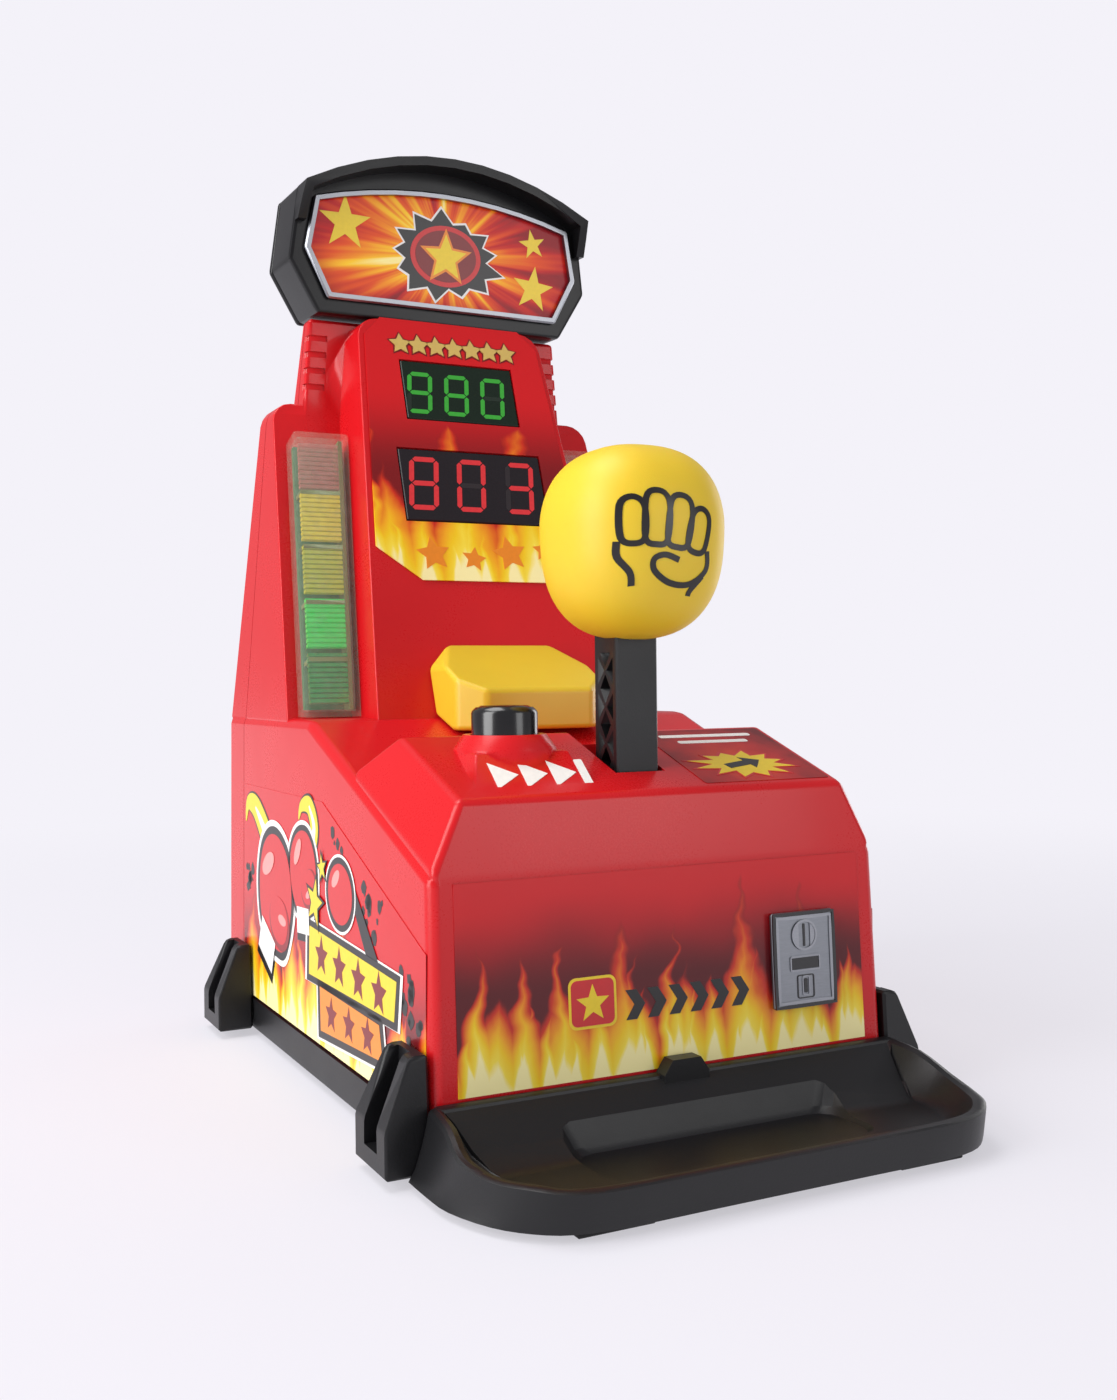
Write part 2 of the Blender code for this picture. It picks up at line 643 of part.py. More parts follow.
def build_labels():
    half = side_half(SHOULDER[1]) - mm(3.6)
    top = math.hypot(SHOULDER[0] - BODY_FRONT[0], SHOULDER[1] - BODY_FRONT[1]) - mm(1.5)
    front_depth = (-LABEL - LABEL_GAP, -LABEL_GAP)
    label = front.slab("front_label", rectangle(-half, half, mm(0.6), top), *front_depth, "print")
    tab = front.slab("tab", rectangle(mm(-6), mm(6), mm(-2), mm(4)), mm(-2), mm(2), "print")
    cut(label, tab)
    plate = rectangle(mm(21.8), mm(36.5), mm(8.1), mm(26.4))
    cut(label, front.slab("gap", shrink(plate, -LABEL), mm(-2), mm(2), "print"))
    front.slab("coin_plate", plate, mm(-1.3), -LABEL_GAP, "silver", edge=mm(0.35), segments=1)

    deck.slab("deck_label", rectangle(mm(10.6), mm(40.0), mm(2.0), DECK_LENGTH - mm(1.8)),
              -LABEL - LABEL_GAP, -LABEL_GAP, "print")

    # side labels follow the cabinet's slope
    for side, word in ((-1, "left"), (1, "right")):
        front_edge, rear_edge, foot, head = mm(39.4, 155.8, 10.0, 62.0)
        over_clips = CLIP_TOP + mm(1.9)
        past_front, short_of_rear = CLIP_FRONT + CLIP_LENGTH + mm(1.7), CLIP_REAR - mm(1.7)
        outline = [(front_edge, over_clips), (front_edge, mm(41.0)), (mm(92.0), head), (rear_edge, head),
                   (rear_edge, over_clips), (short_of_rear, over_clips), (short_of_rear, foot),
                   (past_front, foot), (past_front, over_clips)]
        rings = [[(side * (side_half(z) + d), y, z) for y, z in outline]
                 for d in (LABEL_GAP, LABEL_GAP + LABEL)]
        make("side_label_" + word, rings, "print")


# ---------------------------------------------------------------- stop pad, sensor
def build_stop_pad():
    right = [mm(*point) for point in ((12.9, 90.0), (18.0, 95.0), (18.6, 114.0))]
    outline = right + [(-x, y) for x, y in reversed(right)]
    crest = mm(93.4)
    pad = prism_z("stop_pad", outline, mm(74.0), crest + mm(4), "yellow")
    # sloping top and the two bevelled upper corners
    slope = [mm(*point) for point in ((80, 78.0), (111.8, 93.4), (130, 93.4), (130, 120), (80, 120))]
    cut(pad, prism_x("slope", slope, -WIDTH, WIDTH))
    corner = [mm(*point) for point in ((12.4, 94.0), (19.6, 86.5), (40, 86.5), (40, 120), (12.4, 120))]
    for side in (-1, 1):
        rings = [[(side * x, y, z) for x, z in corner] for y in (mm(60), mm(140))]
        cut(pad, make("corner", rings, "yellow"))
    # its back and its foot follow the tower and the shoulder with a small gap
    low, high, beyond = mm(60, 120, 160)
    ahead = GAP / math.cos(PANEL_LEAN)
    behind = [(panel_y(low) - ahead, low), (panel_y(high) - ahead, high), (beyond, high), (beyond, low)]
    cut(pad, prism_x("wall", behind, -WIDTH, WIDTH))
    slope_rise = (TOWER_FOOT[1] - NOTCH[1]) / (TOWER_FOOT[0] - NOTCH[0])
    shoulder = [(y, NOTCH[1] + (y - NOTCH[0]) * slope_rise + mm(0.4)) for y in mm(80, 120)]
    deep = mm(40)
    floor = shoulder + [(shoulder[1][0], deep), (shoulder[0][0], deep)]
    cut(pad, prism_x("floor", floor, -WIDTH, WIDTH))
    sensor = circle(mm(8), 20, (0.0, mm(10.5)))
    panel.slab("impact_sensor", sensor, WALL + GAP, WALL + GAP + mm(1.0), "brass")


# ---------------------------------------------------------------- arm, ball, pivot
def superellipsoid(name, centre, halves, power, colour, origin, rows=12, columns=24):
    """Rounded-cube solid with a stub top and bottom ring, so that every row is a loop."""
    rings = []
    for i in range(rows + 1):
        phi = -math.pi / 2 + math.pi * (i + 0.25) / (rows + 0.5)
        cz, sz = math.cos(phi), math.sin(phi)
        height = math.copysign(abs(sz) ** (2 / power), sz)
        radius = abs(cz) ** (2 / power)
        ring = []
        for j in range(columns):
            turn = math.tau * j / columns
            cx, sx = math.cos(turn), math.sin(turn)
            ring.append((centre[0] + halves[0] * radius * math.copysign(abs(cx) ** (2 / power), cx),
                         centre[1] + halves[1] * radius * math.copysign(abs(sx) ** (2 / power), sx),
                         centre[2] + halves[2] * height))
        rings.append(ring)
    return make(name, rings, colour, origin=origin, smooth=True)


def build_arm():
    hinge = (0.0, *PIVOT)
    arm = box("punch_arm", (-ARM_HALF, ARM_FRONT, PIVOT[1] - mm(6)), (ARM_HALF, ARM_BACK, ARM_TOP),
              origin=hinge, edge=mm(0.35), segments=1)
    # lattice of crossed ribs between the two flanges, on both sides of a middle web
    flange = mm(1.5)
    web = mm(0.7)
    rib = mm(0.45)
    cell = mm(7.0)
    y0, y1 = ARM_FRONT + flange, ARM_BACK - flange
    mid = (y0 + y1) / 2
    base = PIVOT[1] + mm(8)
    cells = int((BALL_CENTRE[1] - BALL_HALF[2] - base) / cell + 0.6)
    for side in (-1, 1):
        near, far = side * web, side * (ARM_HALF + mm(1))
        for i in range(cells):
            z0, z1 = base + i * cell, base + (i + 1) * cell
            zm = (z0 + z1) / 2
            fore = [(y0, z0 + 2 * rib), (mid - rib, zm), (y0, z1 - 2 * rib)]
            aft = [(y1, z0 + 2 * rib), (mid + rib, zm), (y1, z1 - 2 * rib)]
            lower = [(y0 + 2 * rib, z0), (y1 - 2 * rib, z0), (mid, zm - 1.5 * rib)]
            upper = [(y0 + 2 * rib, z1), (y1 - 2 * rib, z1), (mid, zm + 1.5 * rib)]
            for outline in (fore, aft, lower, upper):
                cut(arm, prism_x("pocket", outline, near, far))
    cut(arm, rod_x("bore", PIVOT, PIVOT_SHAFT_R + GAP, -ARM_HALF * 2, ARM_HALF * 2))

    ball = superellipsoid("punch_ball", (0.0, *BALL_CENTRE), BALL_HALF, 2.9, "yellow", hinge)
    socket = box("socket", (-ARM_HALF - GAP, ARM_FRONT - GAP, BALL_CENTRE[1] - BALL_HALF[2] * 2),
                 (ARM_HALF + GAP, ARM_BACK + GAP, ARM_TOP + GAP))
    cut(ball, socket)

    rod_x("pivot_shaft", PIVOT, PIVOT_SHAFT_R, -BRACKET_OUT - mm(1.2), BRACKET_OUT + mm(1.2))
    for side, word in ((-1, "left"), (1, "right")):
        build_bracket(side, word)
    build_torsion_spring()


BRACKET_IN = mm(7.4)
BRACKET_OUT = mm(9.4)


def build_bracket(side, word):
    """Upright that holds the pivot shaft, standing on the base's floor."""
    low = FLOOR_TOP + GAP
    outline = [(PIVOT[0] - mm(9), low), (PIVOT[0] + mm(7), low), (PIVOT[0] + mm(5), PIVOT[1])]
    outline += [(PIVOT[0] + mm(5) * math.cos(a), PIVOT[1] + mm(5) * math.sin(a))
                for a in (math.pi * k / 6 for k in range(1, 6))]
    outline += [(PIVOT[0] - mm(5), PIVOT[1])]
    bracket = prism_x("pivot_bracket_" + word, outline, side * BRACKET_IN, side * BRACKET_OUT, "black")
    cut(bracket, rod_x("bore", PIVOT, PIVOT_SHAFT_R + GAP, side * mm(5), side * mm(12)))


def helix(centre, radius, wire, turns, length, per_turn=12, sides=6):
    """Rings of points for a coil along +X, with its wire's round section."""
    rings = []
    steps = int(turns * per_turn)
    for i in range(steps + 1):
        a = math.tau * i / per_turn
        x = centre[0] + length * i / steps
        ring = []
        for k in range(sides):
            b = math.tau * k / sides
            r = radius + wire * math.cos(b)
            ring.append((x + wire * math.sin(b), centre[1] + r * math.cos(a), centre[2] + r * math.sin(a)))
        rings.append(ring)
    return rings


def build_torsion_spring():
    """Return spring, wound round the shaft between the arm and the right bracket."""
    wire = mm(0.3)
    start = ARM_HALF + GAP + wire
    end = BRACKET_IN - GAP - wire
    rings = helix((start, *PIVOT), mm(3.3), wire, 2.5, end - start)
    make("arm_return_spring", rings, "steel", smooth=True)


# ---------------------------------------------------------------- start button
def build_start_button():
    stem = mm(1.8)
    foot = BUTTON_FOOT - mm(9)
    profile = [(stem, foot), (stem, BUTTON_FOOT), (BUTTON_R, BUTTON_FOOT),
               (BUTTON_R, BUTTON_TOP - mm(1.3)), (BUTTON_R - mm(0.4), BUTTON_TOP - mm(0.5)),
               (BUTTON_R - mm(1.3), BUTTON_TOP)]
    turned("start_button", BUTTON_AT, profile, "black", count=32, origin=(*BUTTON_AT, BUTTON_FOOT))
    switch_top = foot - BUTTON_TRAVEL - GAP
    x, y = BUTTON_AT
    half = mm(7)
    box("start_switch", (x - half, y - half, switch_top - mm(5)), (x + half, y + half, switch_top),
        edge=mm(0.4), segments=1)
    wire = mm(0.35)
    low = switch_top + GAP + wire
    high = BUTTON_FOOT - GAP - wire
    flat = helix((low, 0.0, 0.0), mm(4.2), wire, 6, high - low, per_turn=12)
    rings = [[(x + q, y + r, p) for p, q, r in ring] for ring in flat]
    make("start_button_spring", rings, "steel", smooth=True)


# ---------------------------------------------------------------- base
def spline(points, steps):
    """A smooth run through points of any dimension, as a Catmull-Rom curve."""
    last = len(points) - 1
    run = []
    for i in range(last):
        ends = [points[min(max(i + k, 0), last)] for k in (-1, 0, 1, 2)]
        for k in range(steps):
            run.append(tuple(catmull_rom(k / steps, *values) for values in zip(*ends)))
    return run + [points[last]]


def catmull_rom(u, p, q, r, s):
    square = 2 * p - 5 * q + 4 * r - s
    cube = 3 * q - p - 3 * r + s
    return 0.5 * (2 * q + (r - p) * u + square * u ** 2 + cube * u ** 3)


def inwards(run, amount):
    """A run from the right end of the tray to its middle, moved towards the dish."""
    moved = []
    for i, (x, y) in enumerate(run):
        (x0, y0), (x1, y1) = run[max(i - 1, 0)], run[min(i + 1, len(run) - 1)]
        length = math.hypot(x1 - x0, y1 - y0)
        moved.append((x + (y1 - y0) / length * amount, y - (x1 - x0) / length * amount))
    return moved


def dish():
    """Scooped tray in front of the casing: flared sides, a rounded rim and a sloping back."""
    foot = spline(TRAY_FOOT, 3)
    crest = [(x, y) for x, y, z in spline(TRAY_CREST, 3)]
    rim = [z for x, y, z in spline(TRAY_CREST, 3)]
    rings = []
    for blend, inset, drop, rear, back in TRAY_LOOPS:
        line = [tuple(p + (q - p) * blend for p, q in zip(a, b)) for a, b in zip(foot, crest)]
        line = inwards(line, inset)
        half = []
        for i, (x, y) in enumerate(line):
            base = BASE_BOTTOM if blend < 1 else DISH_FLOOR
            z = base + (rim[i] - base) * drop
            half.append((x, min(max(y, 0.0), rear), z))
        half[0] = (half[0][0], rear, back)
        half[-1] = (0.0, half[-1][1], half[-1][2])
        rings.append(half + [(-x, y, z) for x, y, z in reversed(half[:-1])])
    return make("dish", rings, "black")


def build_base():
    behind = TRAY_REAR - mm(1.5)
    outline = [(-RAIL_HALF, behind), (RAIL_HALF, behind), (RAIL_HALF, DEPTH), (-RAIL_HALF, DEPTH)]
    base = prism_z("base_tray", outline, BASE_BOTTOM, COLLAR_TOP, "black", edge=mm(0.8), segments=2)

    # the collar drops to the rail behind the front clips
    above, past = mm(40), DEPTH + mm(5)
    drop = CLIP_FRONT + CLIP_LENGTH + mm(0.5)
    cutter = [(drop, above), (drop, COLLAR_TOP + mm(0.1)), (drop + mm(4.5), RAIL_TOP), (past, RAIL_TOP),
              (past, above)]
    cut(base, prism_x("rim", cutter, -WIDTH, WIDTH))
    join(base, dish())

    # seat of the casing: open tray with a floor, walls under the casing's walls
    inside = RAIL_HALF - RAIL_WALL
    cut(base, box("inside", (-inside, mm(39.2), FLOOR_TOP), (inside, DEPTH - mm(4.6), mm(40))))
    lean = (SHOULDER[0] - BODY_FRONT[0]) / (SHOULDER[1] - BODY_FRONT[1])
    foot = BODY_FRONT[0] - (BODY_FRONT[1] - RAIL_TOP) * lean
    seat = HALF_BASE + mm(0.35)
    cut(base, box("seat", (-seat, foot - GAP, RAIL_TOP), (seat, DEPTH + mm(5), mm(40))))

    # pocket across the dish's sloping back
    rings = []
    for grow, z in POCKET_LEVELS:
        x, y0, y1, r = POCKET[0] + grow, POCKET[1] - grow, POCKET[2] + grow * 0.7, POCKET[3]
        ring = []
        corners = ((x - r, y0 + r, -90), (x - r, y1 - r, 0), (r - x, y1 - r, 90), (r - x, y0 + r, 180))
        for cx, cy, start in corners:
            turns = [math.radians(start + turn) for turn in (0, 30, 60, 90)]
            ring += [(cx + r * math.cos(a), cy + r * math.sin(a), z) for a in turns]
        rings.append(ring)
    cut(base, make("pocket", rings, "black"))
    # the hollow under the dish keeps the moulding thin
    cut(base, box("under", mm(-40, 12.5, 0), mm(40, 33, 2.4)))

    right = [(mm(4.8), COLLAR_TOP - mm(2)), (mm(4.8), COLLAR_TOP), (mm(3.0), COLLAR_TOP + mm(2.6))]
    tab = right + [(-x, z) for x, z in reversed(right)]
    rings = [[(x, y, z) for x, z in tab] for y in (foot - mm(3.4), foot - GAP)]
    join(base, make("tab", rings, "black"))

    # battery door opening, and posts for the main board
    x, y0, y1 = DOOR[0], DOOR[1], DOOR[2]
    cut(base, box("door", (-x - GAP, y0 - GAP, mm(0)), (x + GAP, y1 + GAP, FLOOR_TOP + mm(1))))
    for px in (-BOARD[0] + mm(3), BOARD[0] - mm(3)):
        for py in (BOARD[1] + mm(3), BOARD[2] - mm(3)):
            profile = [(POST_R, FLOOR_TOP - mm(0.5)), (POST_R, BOARD[3] - GAP)]
            join(base, turned("post", (px, py), profile, "black", count=10))


TRAY_REAR = CLIP_FRONT - GAP
DISH_FLOOR = mm(4.2)
POCKET = mm(27.0, 12.5, 27.0, 4.0)     # half width, front and rear stations, corner radius
POCKET_LEVELS = [mm(*level) for level in ((0.0, 3.5), (1.2, 4.6), (4.6, 12.0), (5.2, 20.0))]
# right half of the dish, from its rear end to its middle
TRAY_FOOT = [mm(*point) for point in (
    (53.6, 35.0), (53.6, 27.0), (53.0, 19.5), (49.6, 11.0), (45.0, 5.6), (39.5, 2.4), (31.0, 1.2),
    (16.0, 1.2), (0.0, 1.2))]
TRAY_CREST = [mm(*point) for point in (
    (49.9, 35.0, 13.0), (50.6, 27.0, 12.2), (51.3, 19.5, 9.4), (49.4, 11.6, 8.4), (45.8, 5.4, 8.6),
    (40.6, 1.4, 8.2), (32.0, 0.0, 8.0), (16.0, 0.0, 8.0), (0.0, 0.0, 8.0))]
# blend from foot to crest, inset, share of the rim's height, rear station, height at the rear
TRAY_LOOPS = [(0.0, 0.0, 0.0, TRAY_REAR, BASE_BOTTOM), (0.32, 0.0, 0.16, TRAY_REAR, mm(3.2)),
              (0.66, 0.0, 0.46, TRAY_REAR, mm(6.8)), (0.9, 0.0, 0.78, TRAY_REAR, mm(10.2)),
              (1.0, 0.0, 0.9, TRAY_REAR, mm(12.2)), (1.0, mm(0.5), 0.97, TRAY_REAR, mm(12.8)),
              (1.0, mm(1.3), 1.0, TRAY_REAR - mm(0.2), COLLAR_TOP), (1.0, mm(2.3), 0.94, mm(34.0), mm(12.6)),
              (1.0, mm(3.4), 0.66, mm(31.6), mm(10.9)), (1.0, mm(4.8), 0.28, mm(27.4), mm(7.4)),
              (1.0, mm(6.4), 0.06, mm(23.4), mm(4.9)), (1.0, mm(7.6), 0.0, mm(21.0), DISH_FLOOR)]
DOOR = mm(27.0, 103.0, 145.0)          # half width, front and rear stations
BOARD = mm(26.0, 63.5, 98.5, 24.0)     # half width, front and rear stations, underside
POST_R = mm(2.2)
# inner and outer edge, near and far station
FEET = {"front": mm(24.5, 38.5, 3.4, 9.5), "rear": mm(29.5, 44.5, 158, 168)}
BATTERIES = 3
BATTERY_R = mm(5.2)


def build_clip(name, side, station):
    """Two prongs with a slot that opens outwards, to hook a second machine alongside."""
    y0, y1 = station, station + CLIP_LENGTH
    low = BASE_BOTTOM + GAP
    inside = RAIL_HALF + GAP
    top = CLIP_OUT - CLIP_LEAN
    outline = [(inside, low), (CLIP_OUT, low), (CLIP_OUT, CLIP_BEND), (top, CLIP_TOP - mm(0.8)),
               (top - mm(0.9), CLIP_TOP), (inside, CLIP_TOP)]
    # the two ends draw in towards the top
    rings = []
    for y, inwards_by in ((y0, mm(1.2)), (y1, -mm(2.6))):
        rings.append([(side * x, y + inwards_by * max(z - CLIP_BEND, 0.0) / (CLIP_TOP - CLIP_BEND), z)
                      for x, z in outline])
    clip = make(name, rings, "black", edge=mm(0.5), segments=1)
    mid = (y0 + y1) / 2 - mm(0.4)
    deep, floor = CLIP_POCKET
    back, beyond = CLIP_OUT - deep, CLIP_OUT + mm(2)
    section = [(mid - CLIP_SLOT / 2, floor), (mid + CLIP_SLOT / 2, floor),
               (mid + CLIP_SLOT * 0.32, CLIP_TOP * 2), (mid - CLIP_SLOT * 0.32, CLIP_TOP * 2)]
    cut(clip, prism_x("slot", section, side * back, side * beyond, "black"))
    # small step on the slot's floor
    step = sorted((side * (back - mm(0.5)), side * (back + mm(2.4))))
    join(clip, box("step", (step[0], mid - mm(1.4), floor - mm(0.5)), (step[1], mid + mm(1.4), floor + mm(1.6))))


def build_feet():
    edge = mm(0.3)
    for side, word in ((-1, "left"), (1, "right")):
        for place, (inner, outer, near, far) in FEET.items():
            x0, x1 = sorted((side * inner, side * outer))
            box("foot_%s_%s" % (place, word), (x0, near, 0.0), (x1, far, FOOT_TOP), "rubber",
                edge=edge, segments=1)


# ---------------------------------------------------------------- electrics in the base
def build_electrics():
    x, y0, y1 = DOOR
    low = FLOOR_TOP + GAP
    half = x - mm(2.2)
    b0, b1 = y0 + mm(2.5), y1 - mm(4.4)
    high = low + mm(12.4)
    holder = box("battery_box", (-half, b0, low), (half, b1, high))
    hollow = half - THIN
    cut(holder, box("hollow", (-hollow, b0 + THIN, low - mm(1)), (hollow, b1 - THIN, high - THIN)))
    pitch = (b1 - b0 - 2 * THIN) / BATTERIES
    for i in range(BATTERIES):
        at = (b0 + THIN + pitch * (i + 0.5), high - THIN - GAP - BATTERY_R)
        cell = rod_x("battery_%d" % (i + 1), at, BATTERY_R, mm(-21.8), mm(21.0), "steel", count=18)
        join(cell, rod_x("tip", at, mm(1.9), mm(20.5), mm(22.0), count=10))
    door = box("battery_door", (-x, y0, BASE_BOTTOM), (x, y1, FLOOR_TOP - mm(0.1)), edge=GAP, segments=1)

    at = (0.0, y1 - mm(2.3))
    shank = mm(1.35)
    bore = shank + mm(0.35)
    cut(door, turned("hole", at, [(bore, 0.0), (bore, mm(10))], "black", count=16))
    profile = [(shank, BASE_BOTTOM + mm(0.1)), (shank, FLOOR_TOP + mm(4.5)), (mm(0.5), FLOOR_TOP + mm(5.5))]
    turned("battery_door_screw", at, profile, "steel", count=12)

    half, m0, m1, under = BOARD
    box("main_board", (-half, m0, under), (half, m1, under + mm(1.6)), "board")
    rim, magnet = mm(12, 7)
    profile = [(rim, FLOOR_TOP + GAP), (rim, FLOOR_TOP + mm(2)), (magnet, FLOOR_TOP + mm(5)),
               (magnet, FLOOR_TOP + mm(7))]
    turned("speaker", (0.0, (m0 + m1) / 2), profile, "black")


# ---------------------------------------------------------------- marquee
def marquee_outline():
    """Housing outline: eight-sided with an arched top."""
    low, mid, high = mm(-15.2, -3.0, 14.6)
    right = [(mm(33.0), low), (mm(40.2), mid), (mm(37.9), high)]
    left = [(-x, s) for x, s in reversed(right)]
    back = MARQUEE_DEPTH + MARQUEE_BACK
    apex = (HEIGHT - MARQUEE_AT[1] + back * marquee.sin) / marquee.cos
    return right + crown(right[-1], left[0], apex - high, 10) + left


def bezel_outline():
    right = [(mm(30.9), mm(-11.7)), (mm(36.7), mm(-0.2)), (mm(34.3), mm(12.6))]
    left = [(-x, s) for x, s in reversed(right)]
    return right + crown(right[-1], left[0], mm(4.9), 10) + left


def visor_depth(s):
    """The visor stands out furthest over the top, and least at its lower ends."""
    low, high = VISOR_ENDS
    rise = min(max((s - low) / (high - low), 0.0), 1.0)
    return VISOR_DEPTH * (VISOR_LEAST + (1 - VISOR_LEAST) * rise * rise * (3 - 2 * rise))


def build_marquee():
    outer = marquee_outline()
    bezel = bezel_outline()
    housing = marquee.slab("marquee_housing", outer, 0.0, MARQUEE_DEPTH, "black", edge=mm(1.0))
    cut(housing, marquee.slab("pocket", shrink(outer, WALL), WALL, MARQUEE_DEPTH * 2, "black"))
    cut(housing, marquee.slab("window", shrink(bezel, mm(0.7)), mm(-5), WALL * 2, "black"))
    # visor over the top and down to mid height at both sides
    low = VISOR_ENDS[0]
    over = [p for p in shrink(outer, mm(0.15)) if p[1] > low]
    under = [p for p in shrink(outer, mm(2.3)) if p[1] > low]
    outside = [(mm(38.75), low), (mm(38.4), mm(10.4))]
    within = [(mm(36.6), low), (mm(36.25), mm(10.4))]
    hood = outside + over + [(-x, s) for x, s in reversed(outside)]
    hood += [(-x, s) for x, s in within] + under[::-1] + within[::-1]
    rings = [[marquee.at(x, s, -visor_depth(s)) for x, s in hood],
             [marquee.at(x, s, mm(1.0)) for x, s in hood]]
    join(housing, make("visor", rings, "black"))
    rear = MARQUEE_DEPTH + MARQUEE_BACK
    marquee.slab("marquee_back", outer, MARQUEE_DEPTH + GAP, rear, "black", edge=mm(0.7))
    frame = marquee.slab("marquee_bezel", bezel, mm(-1.5), -GAP, "silver", edge=mm(0.4), segments=1)
    cut(frame, marquee.slab("inside", shrink(bezel, mm(1.4)), mm(-5), mm(5), "silver"))
    marquee.slab("marquee_sign", shrink(bezel, mm(1.0)), 0.0, mm(1.3), "print")
    board = marquee.slab("marquee_light_board", shrink(bezel, mm(6)), mm(8.0), mm(9.2), "board")
    for i in range(5):
        lamp = circle(mm(1.8), 10, (mm(11) * (i - 2), mm(1.5)))
        join(board, marquee.slab("lamp", lamp, mm(5.6), mm(8.6), "board"))


# ---------------------------------------------------------------- assembly
def main():
    for obj in list(bpy.data.objects):
        bpy.data.objects.remove(obj, do_unlink=True)
    build_casing()
    build_screws()
    build_power_switch()
    build_base()
    for side, word in ((-1, "left"), (1, "right")):
        build_clip("side_clip_front_" + word, side, CLIP_FRONT)
        build_clip("side_clip_rear_" + word, side, CLIP_REAR)
        build_light(side, word)
    build_feet()
    build_electrics()
    build_displays()
    build_labels()
    build_stop_pad()
    build_arm()
    build_start_button()
    build_marquee()


main()
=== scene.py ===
"""Looks of the tabletop punch machine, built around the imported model."""
import json
import math
import random

import bmesh
import bpy
from mathutils import Matrix, Vector

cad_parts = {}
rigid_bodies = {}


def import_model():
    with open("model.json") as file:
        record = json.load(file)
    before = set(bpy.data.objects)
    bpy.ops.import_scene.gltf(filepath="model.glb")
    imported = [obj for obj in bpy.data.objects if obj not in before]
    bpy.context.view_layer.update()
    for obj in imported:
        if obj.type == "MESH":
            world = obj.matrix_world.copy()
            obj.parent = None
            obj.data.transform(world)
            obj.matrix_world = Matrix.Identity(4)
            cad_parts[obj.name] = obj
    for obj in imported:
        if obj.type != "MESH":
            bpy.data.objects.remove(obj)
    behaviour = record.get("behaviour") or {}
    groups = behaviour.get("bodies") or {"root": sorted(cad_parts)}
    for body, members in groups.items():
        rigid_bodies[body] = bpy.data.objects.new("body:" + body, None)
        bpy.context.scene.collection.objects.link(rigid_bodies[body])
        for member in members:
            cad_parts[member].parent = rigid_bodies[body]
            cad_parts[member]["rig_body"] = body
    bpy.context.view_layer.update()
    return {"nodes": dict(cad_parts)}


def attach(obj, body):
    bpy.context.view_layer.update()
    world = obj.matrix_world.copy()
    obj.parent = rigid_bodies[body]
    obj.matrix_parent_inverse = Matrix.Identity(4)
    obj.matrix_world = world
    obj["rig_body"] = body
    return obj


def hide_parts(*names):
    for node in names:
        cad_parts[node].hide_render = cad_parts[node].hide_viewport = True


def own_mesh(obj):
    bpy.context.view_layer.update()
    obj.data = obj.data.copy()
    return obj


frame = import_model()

NODES = frame["nodes"]
SCENE = bpy.context.scene
MM = 0.001

# Sizes of the casing in millimetres. Stations run backwards from the tray's front edge.
HALF_DEPTH = 87.5
COLLAR_TOP = 8.9               # height where the casing's sides start
PANEL_FOOT = 76.75             # height where the tower starts
WING_TOP = 153.0
NECK_FOOT = 173.6
HALF_SIDES = (48.7, 47.9)      # half the casing's width at COLLAR_TOP and PANEL_FOOT
HALF_WINGS = (47.9, 42.8)      # at PANEL_FOOT and WING_TOP
HALF_TOWER = (31.9, 24.2)      # at PANEL_FOOT and NECK_FOOT
PANEL_LEAN = math.radians(18.5)
WING_BEHIND = 15.5             # from the tower's face back to the wings'


# -------------------- small helpers
def linear(code):
    """A display colour such as c4161c as linear red, green, blue."""
    parts = [int(code[i:i + 2], 16) / 255 for i in (0, 2, 4)]
    return tuple(c / 12.92 if c <= 0.04045 else ((c + 0.055) / 1.055) ** 2.4 for c in parts)


def between(z, low, high, sizes):
    """The size at height z of something that runs evenly from sizes[0] at low to sizes[1] at high."""
    return sizes[0] + (sizes[1] - sizes[0]) * (z - low) / (high - low)


def place(x, station, z):
    """A point given in millimetres, in the row frame."""
    return Vector((x * MM, (station - HALF_DEPTH) * MM, z * MM))


class Plane:
    """A leaning face: x across, s up along it, lift out of it, in millimetres."""

    def __init__(self, station, height, lean):
        self.station, self.height = station, height
        self.sin, self.cos = math.sin(lean), math.cos(lean)

    def __call__(self, x, s, lift=0.0):
        return place(x, self.station + s * self.sin - lift * self.cos,
                     self.height + s * self.cos + lift * self.sin)


PANEL = Plane(106.25, PANEL_FOOT, PANEL_LEAN)
MARQUEE = Plane(141.3, 189.5, math.radians(-2.7))
FRONT = Plane(36.1, 13.0, math.atan2(2.0, 38.35))
DECK = Plane(39.5, 64.0, math.atan2(28.7, 10.4))


def side_face(side):
    """The cabinet's side: y station across, z up."""
    return lambda y, z, lift=0.0: place(
        side * (between(z, COLLAR_TOP, PANEL_FOOT, HALF_SIDES) + lift), y, z)


BALL_AT = (0.0, 50.5, 111.1)
BALL_HALF = (16.9, 16.9, 18.7)
BALL_POWER = 2.55              # 2 is an ellipsoid, and more is squarer
BALL_TAPER = 0.07              # how much narrower the ball is at its foot
TAPER_START = 0.25             # share of its half height where the narrowing starts


def ball_width(z):
    """The ball's narrowing at z from its middle, as a share of its full width."""
    return 1.0 - BALL_TAPER * max(TAPER_START - z / BALL_HALF[2], 0.0) / (1 + TAPER_START)


def ball_face(x, z, lift=0.0):
    """Front of the ball, at x and z from its middle."""
    share = ball_width(z)
    part = 1 - abs(z / BALL_HALF[2]) ** BALL_POWER
    radius = max(part, 0.0) ** (1 / BALL_POWER)
    part = max(radius ** BALL_POWER - abs(x / (BALL_HALF[0] * share)) ** BALL_POWER, 0.0)
    depth = BALL_HALF[1] * share * part ** (1 / BALL_POWER)
    return place(x, BALL_AT[1] - depth - lift, BALL_AT[2] + z)


